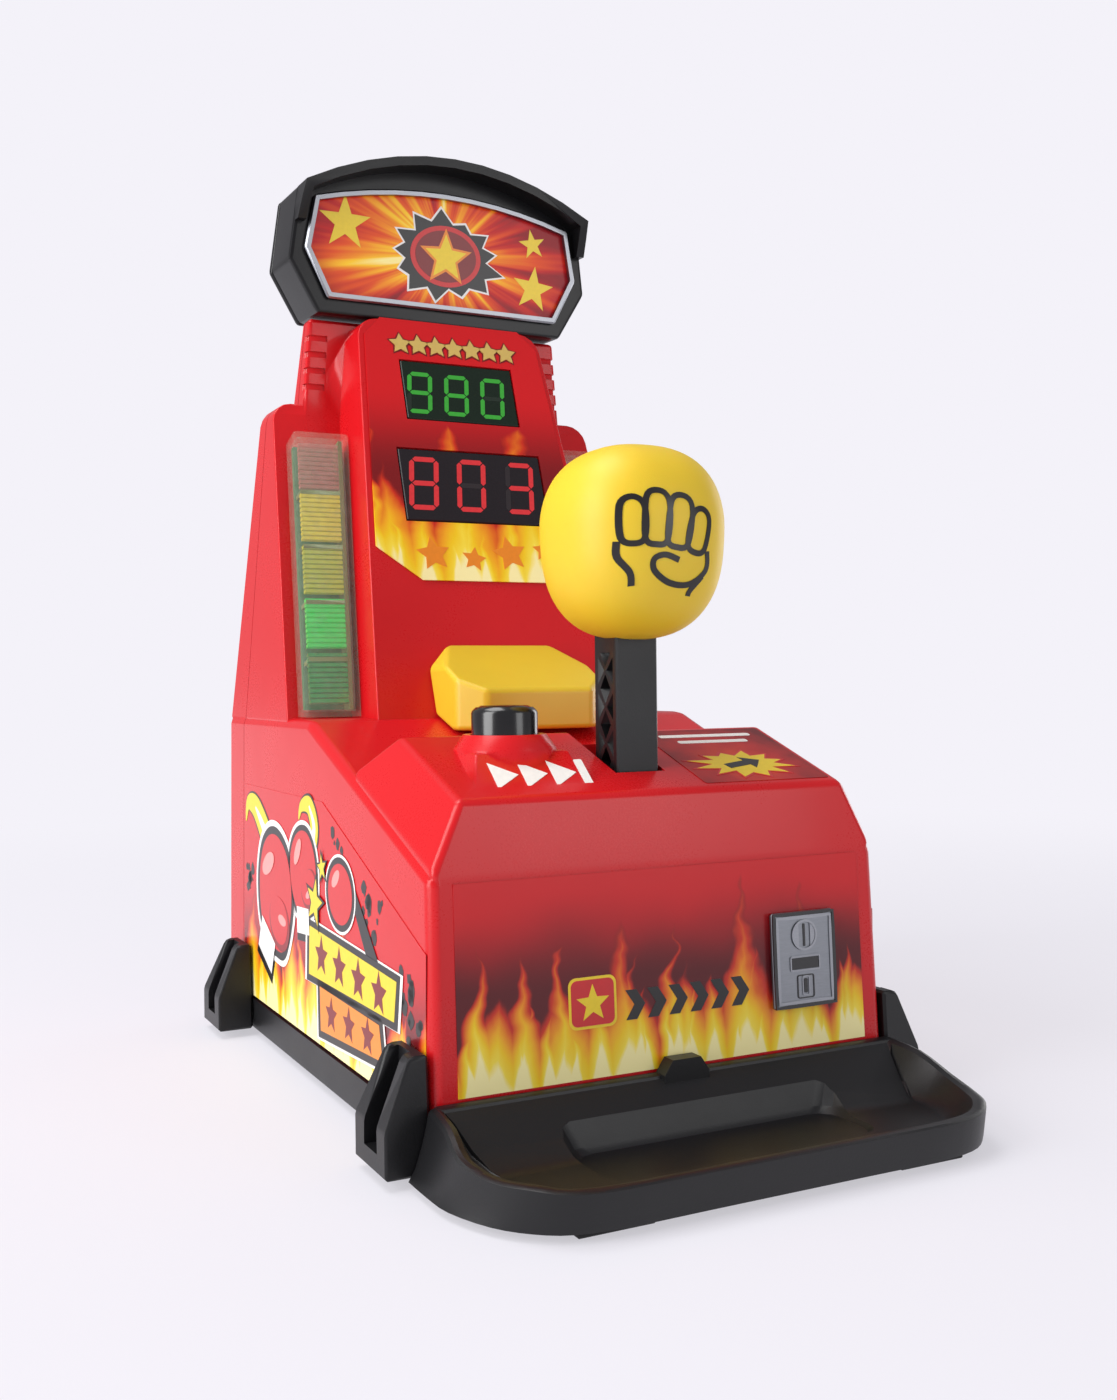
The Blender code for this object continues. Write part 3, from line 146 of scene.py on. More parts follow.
# -------------------- shader arithmetic
class Val:
    """A number in a shader, which can be added, multiplied and so on."""

    def __init__(self, graph, socket):
        self.graph, self.socket = graph, socket

    def __add__(self, other):
        return self.graph.math("ADD", self, other)

    def __sub__(self, other):
        return self.graph.math("SUBTRACT", self, other)

    def __rsub__(self, other):
        return self.graph.math("SUBTRACT", other, self)

    def __mul__(self, other):
        return self.graph.math("MULTIPLY", self, other)

    def __truediv__(self, other):
        return self.graph.math("DIVIDE", self, other)

    def __pow__(self, other):
        return self.graph.math("POWER", self, other)


class Graph:
    """One material and the nodes of its Principled shader."""

    def __init__(self, name, rough=0.4, metallic=0.0, **settings):
        self.material = bpy.data.materials.new(name)
        self.material.use_nodes = True
        self.tree = self.material.node_tree
        self.shader = self.tree.nodes["Principled BSDF"]
        self.set("Roughness", rough)
        self.set("Metallic", metallic)
        for key, value in settings.items():
            self.set(key.replace("_", " "), value)

    def set(self, name, value):
        self.feed(value, self.shader.inputs[name])

    def feed(self, value, socket):
        """Link a shader value to a socket, or write a plain number or colour in it."""
        if isinstance(value, Val):
            value = value.socket
        if hasattr(value, "links"):
            self.tree.links.new(value, socket)
        elif isinstance(value, tuple) and len(value) == 3 and len(socket.default_value) == 4:
            socket.default_value = (*value, 1.0)
        else:
            socket.default_value = value

    def node(self, kind, **settings):
        made = self.tree.nodes.new("ShaderNode" + kind)
        for key, value in settings.items():
            setattr(made, key, value)
        return made

    def math(self, operation, *values, clamp=False):
        made = self.node("Math", operation=operation, use_clamp=clamp)
        for value, socket in zip(values, made.inputs):
            self.feed(value, socket)
        return Val(self, made.outputs[0])

    def step(self, low, high, value):
        """0 below low, 1 above high, smooth between."""
        made = self.node("MapRange", interpolation_type="SMOOTHSTEP")
        for key, item in (("Value", value), ("From Min", low), ("From Max", high)):
            self.feed(item, made.inputs[key])
        return Val(self, made.outputs[0])

    def position(self):
        """x, station and height of the surface point, in millimetres."""
        parts = self.node("SeparateXYZ")
        self.tree.links.new(self.node("TexCoord").outputs["Object"], parts.inputs[0])
        x, y, z = (Val(self, out) * 1000.0 for out in parts.outputs)
        return x, y + HALF_DEPTH, z

    def vector(self, x, y, z):
        made = self.node("CombineXYZ")
        for value, socket in zip((x, y, z), made.inputs):
            self.feed(value, socket)
        return made.outputs[0]

    def noise(self, vector, scale=1.0, detail=2.0, rough=0.5):
        made = self.node("TexNoise")
        self.tree.links.new(vector, made.inputs["Vector"])
        for key, value in (("Scale", scale), ("Detail", detail), ("Roughness", rough)):
            made.inputs[key].default_value = value
        return Val(self, made.outputs[0])

    def mix(self, amount, a, b):
        made = self.node("Mix", data_type="RGBA")
        self.feed(amount, made.inputs[0])
        self.feed(a, made.inputs[6])
        self.feed(b, made.inputs[7])
        return made.outputs[2]

    def ramp(self, amount, *stops):
        """Colour along a run of (place, display colour) stops."""
        made = self.node("ValToRGB")
        self.feed(amount, made.inputs[0])
        elements = made.color_ramp.elements
        while len(elements) < len(stops):
            elements.new(1.0)
        for element, (where, code) in zip(elements, stops):
            element.position = where
            element.color = (*linear(code), 1.0)
        return made.outputs[0]

    def bump(self, height, strength, distance):
        made = self.node("Bump")
        made.inputs["Strength"].default_value = strength
        made.inputs["Distance"].default_value = distance
        self.feed(height, made.inputs["Height"])
        self.tree.links.new(made.outputs[0], self.shader.inputs["Normal"])


def shaded(code, share):
    """A display colour in linear light, made darker or lighter."""
    return tuple(min(c * share, 1.0) for c in linear(code))


def moulded(name, code, rough, grain=0.25, shade=0.12, spread=0.08, **settings):
    """Moulded plastic: a fine grain, a little unevenness in gloss and a little in colour."""
    g = Graph(name, rough, **settings)
    where = g.vector(*g.position())
    cloud = g.noise(where, 0.06, 3.0)
    fine = g.noise(where, 2.6, 3.0, 0.6)
    g.set("Base Color", g.mix(cloud, linear(code), shaded(code, 1 - shade)))
    g.set("Roughness", g.math("ADD", cloud * spread + (rough - spread / 2), fine * 0.04, clamp=True))
    g.bump(fine, grain, 0.00005)
    return g.material


def metal(name, code, rough):
    """Brushed or plated metal, with fine lines across it."""
    g = Graph(name, rough, 1.0)
    x, y, z = g.position()
    lines = g.noise(g.vector(x * 0.3, y * 4.0, z * 4.0), 1.5, 3.0, 0.6)
    g.set("Base Color", g.mix(lines, shaded(code, 0.72), linear(code)))
    g.set("Roughness", lines * 0.16 + (rough - 0.05))
    g.bump(lines, 0.15, 0.00005)
    return g.material


def printed(name, code, rough=0.3, **settings):
    """One ink on a printed film, with a faint mottle."""
    g = Graph(name, rough, **settings)
    mottle = g.noise(g.vector(*g.position()), 1.1, 2.0)
    g.set("Base Color", g.mix(mottle, linear(code), shaded(code, 0.86)))
    return g.material


def glow(name, code, strength):
    """Lit plastic, with a slight unevenness."""
    g = Graph(name, 0.3)
    grain = g.noise(g.vector(*g.position()), 1.5, 2.0)
    g.set("Base Color", linear("101010"))
    g.set("Emission Color", g.mix(grain, linear(code), shaded(code, 0.7)))
    g.set("Emission Strength", strength)
    return g.material


# -------------------- flames
def tongues(g, u, v, pitch, height, seed, lean=1.0):
    """Licking tongues of flame rising from v = 0: 1 in the heart of one, 0 at its edge."""
    wobble = (g.noise(g.vector(u * 0.06, v * 0.1, seed), 1.0, 2.0) - 0.5) * (13.0 * lean)
    across = (u + wobble * g.step(0.0, height, v) + seed * 3.7) / pitch
    cell = g.math("FLOOR", across)
    local = g.math("ABSOLUTE", g.math("FRACT", across) - 0.5) * 2.0
    dice = g.node("TexWhiteNoise", noise_dimensions="1D")
    g.feed(cell + seed, dice.inputs["W"])
    tall = (Val(g, dice.outputs[0]) * 0.65 + 0.45) * height
    return 1.0 - local * 1.1 - (g.math("MAXIMUM", v, 0.0) / tall) ** 1.3


def fire(g, u, v, height, base):
    """Heat of a row of flames, from below 0 in the air to over 1 at the foot."""
    a = tongues(g, u, v, 13.0, height, 1.0)
    b = tongues(g, u, v, 8.0, height * 0.72, 5.3, 1.3)
    c = tongues(g, u, v, 5.0, height * 0.42, 9.1, 0.8)
    top = g.math("MAXIMUM", g.math("MAXIMUM", a, b * 1.1), c * 1.25)
    foot = 1.0 - v / base
    swirl = g.noise(g.vector(u * 0.16, v * 0.07, 4.0), 1.0, 3.0)
    return top * 0.66 + g.math("MAXIMUM", foot, 0.0) * 0.62 + (swirl - 0.5) * 0.5


FLAME = ((0.0, "5d1216"), (0.08, "8e1a16"), (0.2, "c8301a"), (0.33, "e0701c"), (0.5, "efa51e"),
         (0.68, "f2c81e"), (0.88, "f6dc46"), (1.0, "fbefac"))
RED = "cd151c"


def casing_red(g, x, y, z):
    """The casing's own red, so that a film's clear part doesn't show on it."""
    cloud = g.noise(g.vector(x, y, z), 0.06, 3.0)
    return g.mix(cloud, linear(RED), shaded(RED, 0.92))


def flame_film(name, coordinates, height, base, clear, dusk):
    """Printed film: flames at its foot, dusk between them, and the casing's red above.

    height is how far the tongues reach, and base how far the solid fire does. The red starts to
    show at v = dusk and is plain at v = clear.
    """
    g = Graph(name, 0.26, Specular_IOR_Level=0.32, Coat_Weight=0.08, Coat_Roughness=0.08)
    x, y, z = g.position()
    u, v = coordinates(x, y, z)
    heat = fire(g, u, v, height, base)
    edge = g.step(dusk, clear, v + (g.noise(g.vector(u, v, 2.0), 0.05, 1.0) - 0.5) * 8.0)
    behind = g.mix(edge, linear("5a1218"), casing_red(g, x, y, z))
    burning = g.ramp(heat, *FLAME)
    g.set("Base Color", g.mix(g.step(0.02, 0.16, heat), behind, burning))
    fine = g.noise(g.vector(u, v, 0.0), 2.5, 2.0)
    g.bump(fine, 0.08, 0.00003)
    return g.material


# -------------------- mesh helpers
JOIN_DISTANCE = 0.000004       # points nearer than this, in metres, are one point
FLAT_ANGLE = 0.3               # degrees: faces nearer to level than this become one
ROUNDED_ANGLE = 25             # degrees: edges sharper than this are rounded
SHADED_ANGLE = 32              # degrees: edges sharper than this shade as edges


def new_object(name, mesh):
    obj = bpy.data.objects.new(name, mesh)
    SCENE.collection.objects.link(obj)
    return obj


def from_bmesh(name, bm, material, body, angle=35, smooth=True):
    bmesh.ops.recalc_face_normals(bm, faces=bm.faces)
    mesh = bpy.data.meshes.new(name)
    bm.to_mesh(mesh)
    bm.free()
    mesh.materials.append(material)
    if smooth:
        mesh.shade_smooth()
        mesh.set_sharp_from_angle(angle=math.radians(angle))
    obj = new_object(name, mesh)
    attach(obj, body)
    return obj


def refine(node, name, material, rounding=0.0, segments=2):
    """A finer copy of a CAD node: flat areas made whole, edges rounded, shading smoothed."""
    source = NODES[node]
    bm = bmesh.new()
    bm.from_mesh(source.data)
    bmesh.ops.remove_doubles(bm, verts=bm.verts, dist=JOIN_DISTANCE)
    bmesh.ops.dissolve_limit(bm, angle_limit=math.radians(FLAT_ANGLE), verts=bm.verts, edges=bm.edges)
    if rounding:
        edges = [e for e in bm.edges if len(e.link_faces) == 2
                 and e.calc_face_angle(0.0) > math.radians(ROUNDED_ANGLE)]
        bmesh.ops.bevel(bm, geom=edges, offset=rounding, segments=segments, profile=0.5,
                        affect="EDGES", clamp_overlap=True)
    obj = from_bmesh(name, bm, material, source["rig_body"], SHADED_ANGLE)
    modifier = obj.modifiers.new("even_shading", "WEIGHTED_NORMAL")
    modifier.keep_sharp = True
    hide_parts(node)
    return obj


def loft(bm, rings, caps=True):
    """Skin over a run of closed rings that have as many points each."""
    loops = [[bm.verts.new(point) for point in ring] for ring in rings]
    count = len(loops[0])
    for low, high in zip(loops, loops[1:]):
        for i in range(count):
            j = (i + 1) % count
            bm.faces.new((low[i], low[j], high[j], high[i]))
    if caps:
        bm.faces.new(loops[0][::-1])
        bm.faces.new(loops[-1])


def resample(outline, step, closed=True):
    """More points along an outline, at most step apart."""
    points = []
    count = len(outline)
    for i in range(count if closed else count - 1):
        (x0, y0), (x1, y1) = outline[i], outline[(i + 1) % count]
        parts = max(1, math.ceil(math.hypot(x1 - x0, y1 - y0) / step))
        points += [(x0 + (x1 - x0) * k / parts, y0 + (y1 - y0) * k / parts) for k in range(parts)]
    if not closed:
        points.append(outline[-1])
    return points


def plate(bm, outline, face, low, high, step=0.0):
    """A thin flat shape standing on a face from lift low to lift high."""
    if step:
        outline = resample(outline, step)
    loft(bm, [[face(x, s, lift) for x, s in outline] for lift in (low, high)])


def stroke(bm, line, width, face, low, high, closed=False, step=0.6):
    """A band of even width along a line, standing on a face."""
    points = resample(line, step, closed)
    count = len(points)
    left, right = [], []
    for i, (x, s) in enumerate(points):
        before = points[(i - 1) % count] if closed else points[max(i - 1, 0)]
        after = points[(i + 1) % count] if closed else points[min(i + 1, count - 1)]
        dx, ds = after[0] - before[0], after[1] - before[1]
        length = math.hypot(dx, ds) or 1.0
        nx, ns = -ds / length * width / 2, dx / length * width / 2
        left.append((x + nx, s + ns))
        right.append((x - nx, s - ns))
    rings = [[face(*left[i], low), face(*right[i], low), face(*right[i], high), face(*left[i], high)]
             for i in range(count)]
    if closed:
        rings.append(rings[0])
        loft(bm, rings, caps=False)
        bmesh.ops.remove_doubles(bm, verts=bm.verts, dist=0.000001)
    else:
        loft(bm, rings)


def decal(name, shapes, face, material, lift=0.13, thick=0.05, step=0.0):
    """Printed shapes on a label, as one thin raised piece."""
    bm = bmesh.new()
    for outline in shapes:
        plate(bm, outline, face, lift, lift + thick, step)
    from_bmesh(name, bm, material, "machine", smooth=False)


def star(x, s, size, inner=0.42, turn=0.0):
    """A five-pointed star; inner is its notches' radius as a share of size."""
    outline = []
    for k in range(10):
        r = size * (1.0 if k % 2 == 0 else inner)
        a = math.pi / 2 + turn + math.pi * k / 5
        outline.append((x + r * math.cos(a), s + r * math.sin(a)))
    return outline


def burst(x, s, wide, tall, points, depth, seed):
    """A comic burst with uneven points; depth is how deep the notches go, as a share."""
    dice = random.Random(seed)
    outline = []
    for k in range(points * 2):
        r = (1.0 + dice.uniform(-0.12, 0.16)) if k % 2 == 0 else depth * (1 + dice.uniform(-0.08, 0.08))
        a = math.pi * k / points + 0.2
        outline.append((x + wide * r * math.cos(a), s + tall * r * math.sin(a)))
    return outline


def smooth_outline(points, steps=6, closed=True):
    """A Catmull-Rom curve through points."""
    count = len(points)
    curve = []
    for i in range(count if closed else count - 1):
        if closed:
            p0, p1, p2, p3 = (points[(i + k) % count] for k in (-1, 0, 1, 2))
        else:
            p0, p1, p2, p3 = (points[min(max(i + k, 0), count - 1)] for k in (-1, 0, 1, 2))
        for k in range(steps):
            t = k / steps
            curve.append(tuple(0.5 * (2 * b + (c - a) * t + (2 * a - 5 * b + 4 * c - d) * t * t
                                      + (3 * b - a - 3 * c + d) * t ** 3)
                               for a, b, c, d in zip(p0, p1, p2, p3)))
    if not closed:
        curve.append(points[-1])
    return curve


def ellipse(x, s, wide, tall, count=28, turn=0.0):
    points = []
    for k in range(count):
        a = math.tau * k / count
        px, ps = wide * math.cos(a), tall * math.sin(a)
        points.append((x + px * math.cos(turn) - ps * math.sin(turn),
                       s + px * math.sin(turn) + ps * math.cos(turn)))
    return points


def rounded(left, right, low, high, radius):
    """A rectangle with round corners."""
    count = 5
    outline = []
    for cx, cs, start in ((right - radius, low + radius, -90), (right - radius, high - radius, 0),
                          (left + radius, high - radius, 90), (left + radius, low + radius, 180)):
        for k in range(count + 1):
            a = math.radians(start + 90 * k / count)
            outline.append((cx + radius * math.cos(a), cs + radius * math.sin(a)))
    return outline


def moved(outline, x, s, size=1.0, turn=0.0):
    """An outline drawn about its own middle, sized, turned and put at x, s."""
    c, d = math.cos(turn) * size, math.sin(turn) * size
    return [(x + px * c - ps * d, s + px * d + ps * c) for px, ps in outline]


def turned(name, centre, profile, material, body):
    """A body turned about a vertical axis; profile is (radius, height) from the bottom up."""
    count = 64
    bm = bmesh.new()
    rings = [[place(centre[0] + r * math.cos(math.tau * k / count),
                    centre[1] + r * math.sin(math.tau * k / count), z) for k in range(count)]
             for r, z in profile]
    loft(bm, rings)
    return from_bmesh(name, bm, material, body)


# -------------------- materials
red = moulded("red_gloss", RED, 0.26, 0.05, 0.08, 0.05, Specular_IOR_Level=0.32, Coat_Weight=0.08,
              Coat_Roughness=0.08)
black = moulded("black_satin", "161618", 0.38, 0.4, 0.25, 0.1, Specular_IOR_Level=0.4)
black_case = moulded("black_case", "0d0d0f", 0.3, 0.12, 0.2, 0.08, Specular_IOR_Level=0.35)
black_gloss = moulded("black_gloss", "111113", 0.2, 0.08, 0.2, 0.06, Coat_Weight=0.4,
                      Coat_Roughness=0.12)
rubber = moulded("rubber_pad", "1b1b1c", 0.75, 0.8)
foam = moulded("ball_skin", "e6c226", 0.46, 0.35, 0.1, 0.08, Subsurface_Weight=0.12,
               Subsurface_Scale=0.003)
pad_skin = moulded("pad_skin", "e0be2a", 0.38, 0.25, 0.12, 0.08, Subsurface_Weight=0.1,
                   Subsurface_Scale=0.003)
silver = metal("silver_trim", "9a9ca2", 0.3)
steel = metal("steel_part", "b9bbc0", 0.3)
brass = metal("brass_disc", "c9a35a", 0.3)
gold = printed("gold_foil", "e6c46c", 0.3, Metallic=0.25)
white_ink = printed("white_ink", "f4f2ee")
yellow_ink = printed("yellow_ink", "f2d21c")
orange_ink = printed("orange_ink", "ee8a1a")
red_ink = printed("red_ink", "cf1b20")
dark_red_ink = printed("dark_red_ink", "7d0f14")
black_ink = printed("black_ink", "1c191a")
white_plastic = moulded("white_plastic", "e8e6e0", 0.4)
board_green = moulded("board_green", "1f6b3c", 0.45)
side_flames = flame_film("side_flames", lambda x, y, z: (y * 0.8, z - 9.0),
                         height=34.0, base=20.0, clear=27.0, dusk=8.0)
front_flames = flame_film("front_flames", lambda x, y, z: (x, z - 13.0),
                          height=36.0, base=17.0, clear=34.0, dusk=17.0)


def panel_film():
    """Score panel: flames that reach past the red display, red above."""
    g = Graph("panel_flames", 0.26, Specular_IOR_Level=0.3)
    x, y, z = g.position()
    s = (z - PANEL_FOOT) / PANEL.cos
    u = x * 1.15 + 31.0
    heat = fire(g, u * 0.62, s - 30.0, 66.0, 27.0)
    fade = g.step(70.0, 86.0, s)
    behind = g.mix(g.step(60.0, 84.0, s), linear("7a1518"), linear("cf1a1f"))
    burning = g.ramp(heat, *FLAME)
    shown = g.step(0.04, 0.2, heat - fade * 1.2)
    g.set("Base Color", g.mix(shown, behind, burning))
    return g.material


def sunburst():
    """Marquee sign: rays from its middle, yellow to deep red."""
    g = Graph("marquee_sunburst", 0.24, Specular_IOR_Level=0.2)
    x, y, z = g.position()
    v = z - 192.0
    angle = g.math("ARCTAN2", v, x)
    far = g.math("SQRT", x * x * 0.55 + v * v * 1.7)
    across, up = g.math("COSINE", angle), g.math("SINE", angle)
    rays = g.noise(g.vector(across * 3.1, up * 3.1, far * 0.012), 1.6, 2.5, 0.55)
    fine = g.noise(g.vector(across * 9.0, up * 9.0, far * 0.02), 1.3, 2.0)
    heat = 0.92 - far * 0.028 + (rays - 0.5) * 1.9 + (fine - 0.5) * 0.5
    colour = g.ramp(heat, (0.0, "8f1a22"), (0.2, "c01f1f"), (0.42, "e0501c"), (0.6, "f0901c"),
                    (0.8, "fbc928"), (1.0, "fdeb9a"))
    g.set("Base Color", colour)
    g.set("Emission Color", colour)
    g.set("Emission Strength", 0.06)
    return g.material


def splash():
    """Deck label: dark red with a warm middle."""
    g = Graph("deck_film", 0.34, Specular_IOR_Level=0.3)
    x, y, z = g.position()
    far = g.math("SQRT", (x - 24.0) ** 2.0 + (y - 50.0) ** 2.0)
    cloud = g.noise(g.vector(x, y, 0.0), 0.16, 3.0)
    g.set("Base Color", g.ramp(far * 0.035 + (cloud - 0.5) * 0.5, (0.0, "d8421c"), (0.35, "b3201c"),
                               (0.7, "6d1416"), (1.0, "3d0f12")))
    return g.material


def tinted(name, code):
    """Tinted display window, with the faint speckle of the mask behind it."""
    g = Graph(name, 0.16, Specular_IOR_Level=0.22)
    speckle = g.noise(g.vector(*g.position()), 3.5, 2.0)
    g.set("Base Color", g.mix(speckle, linear(code), shaded(code, 1.9)))
    return g.material


def clear_plastic(name, code, alpha):
    """Clear moulded plastic with a faint haze."""
    g = Graph(name, 0.1, Coat_Weight=0.6, Coat_Roughness=0.05)
    haze = g.noise(g.vector(*g.position()), 0.5, 2.0)
    g.set("Base Color", g.mix(haze, linear(code), shaded(code, 1.25)))
    g.set("Alpha", haze * 0.1 + alpha)
    return g.material


# -------------------- casing, base, clips, feet
refine("front_shell", "casing_front", red)
refine("rear_cover", "casing_rear", red)
refine("base_tray", "base_moulding", black, 0.0005)
for side_word in ("left", "right"):
    for end in ("front", "rear"):
        refine("side_clip_%s_%s" % (end, side_word), "link_clip_%s_%s" % (end, side_word), black)
        refine("foot_%s_%s" % (end, side_word), "pad_foot_%s_%s" % (end, side_word), rubber)
    for level in ("upper", "lower"):
        refine("case_screw_%s_%s" % (level, side_word), "screw_%s_%s" % (level, side_word), steel)


def build_screw_cross_shade():
    """Cross recesses on the heads of the four case screws, as black crosses: painted shade inside the steel
    heads.
    """
    bm = bmesh.new()
    inside, outside = 173.3, 173.56
    reach, half = 1.25, 0.22
    for x in (-39.0, 39.0):
        for z in (20.0, 66.0):
            for wide, tall in ((reach, half), (half, reach)):
                corners = ((-wide, -tall), (wide, -tall), (wide, tall), (-wide, tall))
                loft(bm, [[place(x + px, y, z + pz) for px, pz in corners] for y in (inside, outside)])
    from_bmesh("screw_cross_shade", bm, black_gloss, "machine", smooth=False)


# Black crosses painted as the shade in the screws' cross recesses.
build_screw_cross_shade()
refine("battery_door", "battery_cover", black)
refine("battery_door_screw", "battery_cover_screw", steel)
refine("power_switch", "power_switch_frame", black)
refine("power_slider", "power_knob", black_gloss)
refine("stop_pad", "strike_pad", pad_skin, 0.0011, 4)

# -------------------- labels
FILM = (0.02, 0.12)            # a printed film's underside and face, above the casing
FRONT_FILM = [(-43.9, 0.4), (43.9, 0.4), (43.7, 36.9), (-43.7, 36.9)]
SIDE_FILM = [(38.8, 9.4), (157.4, 9.4), (157.4, 60.0), (96.0, 60.0), (38.8, 38.0)]


def lay_film(name, node, outline, face, material):
    bm = bmesh.new()
    plate(bm, outline, face, *FILM)
    piece = from_bmesh(name, bm, material, "machine", smooth=False)
    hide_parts(node)


lay_film("front_film", "front_label", FRONT_FILM, FRONT, front_flames)
lay_film("deck_film", "deck_label", rounded(10.6, 40.0, 2.0, 28.7, 0.6), DECK, splash())
refine("score_label", "score_film", panel_film())
for side_number, side_word in ((-1, "left"), (1, "right")):
    lay_film("side_film_" + side_word, "side_label_" + side_word, SIDE_FILM, side_face(side_number),
             side_flames)

# -------------------- arm and ball
refine("punch_arm", "swing_arm", black)


def build_ball():
    """The foam ball, between a ball and a block in shape, narrower at its foot."""
    def squared(share):
        return math.copysign(abs(share) ** (2 / BALL_POWER), share)

    bm = bmesh.new()
    rows, columns = 40, 72
    rings = []
    for i in range(rows + 1):
        phi = -math.pi / 2 + math.pi * (i + 0.12) / (rows + 0.24)
        height = squared(math.sin(phi))
        radius = math.cos(phi) ** (2 / BALL_POWER) * ball_width(BALL_HALF[2] * height)
        ring = []
        for j in range(columns):
            turn = math.tau * j / columns
            px = BALL_HALF[0] * radius * squared(math.cos(turn))
            py = BALL_HALF[1] * radius * squared(math.sin(turn))
            ring.append(place(px, BALL_AT[1] + py, BALL_AT[2] + BALL_HALF[2] * height))
        rings.append(ring)
    loft(bm, rings)
    ball = from_bmesh("ball_skin", bm, foam, "punch", 60)
    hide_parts("punch_ball")


build_ball()


def build_ball_mark():
    """A plain line drawing of a closed hand: four fingers, a thumb and two wrist lines."""
    bm = bmesh.new()
    foot, top = -0.05, 0.12
    width = 0.95
    size, tilt, aside = 1.16, -0.1, -1.6

    def on_ball(x, s, lift=0.0):
        (x, s), = moved([(x, s)], aside, 0.0, size, tilt)
        return ball_face(x, s, lift)

    # each finger's middle, width, length and turn
    fingers = [(-6.3, 0.6, 3.6, 7.4, 0.12), (-2.4, 1.5, 3.9, 8.6, 0.05), (1.7, 1.4, 3.9, 8.4, -0.03),
               (5.5, 0.4, 3.5, 7.2, -0.12)]
    for x, s, wide, tall, turn in fingers:
        shape = smooth_outline([(-wide / 2, -tall / 2 + 1), (-wide / 2, tall / 2 - 1.4), (0, tall / 2),
                                (wide / 2, tall / 2 - 1.4), (wide / 2, -tall / 2 + 1), (0, -tall / 2)], 5)
        stroke(bm, moved(shape, x, s + 1.0, turn=turn), width, on_ball, foot, top, closed=True)
    thumb = [(7.6, -1.6), (7.9, -4.6), (5.0, -7.2), (1.2, -7.4), (-1.8, -5.9), (-2.2, -4.1), (-0.4, -3.2),
             (2.2, -3.7)]
    wrist = ([(-8.2, -2.0), (-7.8, -4.4), (-5.6, -6.6), (-4.9, -8.6)],
             [(7.4, -5.6), (5.6, -8.0), (5.4, -9.0)])
    for line, steps in ((thumb, 6), (wrist[0], 5), (wrist[1], 5)):
        stroke(bm, smooth_outline(line, steps, closed=False), width, on_ball, foot, top)
    from_bmesh("ball_mark", bm, black_ink, "punch", 40)


build_ball_mark()

# -------------------- start button
# Stem, cap and the small ridge round its top.
BUTTON_AT = (-24.0, 58.0)
BUTTON = [(1.6, 66.0), (1.6, 72.9), (6.0, 72.95), (6.35, 73.2), (6.38, 78.6), (6.2, 79.1), (5.75, 79.55),
          (5.5, 79.75), (5.2, 79.7), (4.6, 80.05), (2.0, 80.15), (0.3, 80.17)]
button = turned("button_cap", BUTTON_AT, BUTTON, black_gloss, "start_button")
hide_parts("start_button")

# The coil spring under the cap stands on the switch, and gets a mesh of its own.
coil = refine("start_button_spring", "button_spring", steel)
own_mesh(coil)

# -------------------- marquee
refine("marquee_housing", "marquee_case", black_case, 0.0006, 3)
refine("marquee_back", "marquee_rear", black_case)
refine("marquee_bezel", "marquee_frame", silver)
refine("marquee_sign", "marquee_picture", sunburst())


def build_marquee_art():
    """Stars, and a star on a round shield in place of a name."""
    stars = ((-26.2, 7.2, 6.9, 0.0), (24.7, 8.2, 3.9, 0.2), (25.0, -3.2, 6.0, -0.1))
    decal("marquee_stars", [star(x, s, r, turn=t, inner=0.4) for x, s, r, t in stars], MARQUEE, yellow_ink,
          lift=0.04)
    middle = (0.4, 2.2)
    for name, outline, ink, lift in (
            ("marquee_badge_rim", burst(*middle, 15.5, 11.0, 13, 0.8, 4), white_ink, 0.03),
            ("marquee_badge_edge", burst(*middle, 14.7, 10.3, 13, 0.8, 4), black_ink, 0.08),
            ("marquee_badge_red", ellipse(*middle, 9.6, 7.6, 40), red_ink, 0.13),
            ("marquee_badge_disc", ellipse(*middle, 8.3, 6.4, 40), dark_red_ink, 0.18),
            ("marquee_badge_star", star(middle[0], middle[1] - 0.4, 7.4, inner=0.45), orange_ink, 0.23),
            ("marquee_badge_star_face", star(middle[0], middle[1] - 0.4, 5.9, inner=0.45), yellow_ink, 0.28)):
        decal(name, [outline], MARQUEE, ink, lift=lift)


build_marquee_art()

# -------------------- displays
SEGMENTS = {"0": "abcdef", "3": "abcdg", "8": "abcdefg", "9": "abcdfg"}
refine("green_display_window", "green_window_pane", tinted("green_tint", "141f17"))
refine("red_display_window", "red_window_pane", tinted("red_tint", "1e1a1d"))


DIGIT_LEAN = 0.13              # sideways for each millimetre of height
DIGIT_FOOT, DIGIT_LIT, DIGIT_UNLIT = 0.48, 0.56, 0.52   # lifts above the panel's face


def digit_segments(wide, tall, thick):
    """The seven bars of one digit, by letter, about the digit's middle."""
    w, h, t, gap = wide / 2, tall / 2, thick / 2, thick * 0.16

    def bar(x0, s0, x1, s1):
        if s0 == s1:
            return [(x0 + gap, s0), (x0 + t + gap, s0 + t), (x1 - t - gap, s0 + t), (x1 - gap, s0),
                    (x1 - t - gap, s0 - t), (x0 + t + gap, s0 - t)]
        return [(x0, s0 + gap), (x0 + t, s0 + t + gap), (x0 + t, s1 - t - gap), (x0, s1 - gap),
                (x0 - t, s1 - t - gap), (x0 - t, s0 + t + gap)]

    return {"a": bar(-w, h, w, h), "g": bar(-w, 0, w, 0), "d": bar(-w, -h, w, -h),
            "f": bar(-w, 0, -w, h), "b": bar(w, 0, w, h), "e": bar(-w, -h, -w, 0), "c": bar(w, -h, w, 0)}


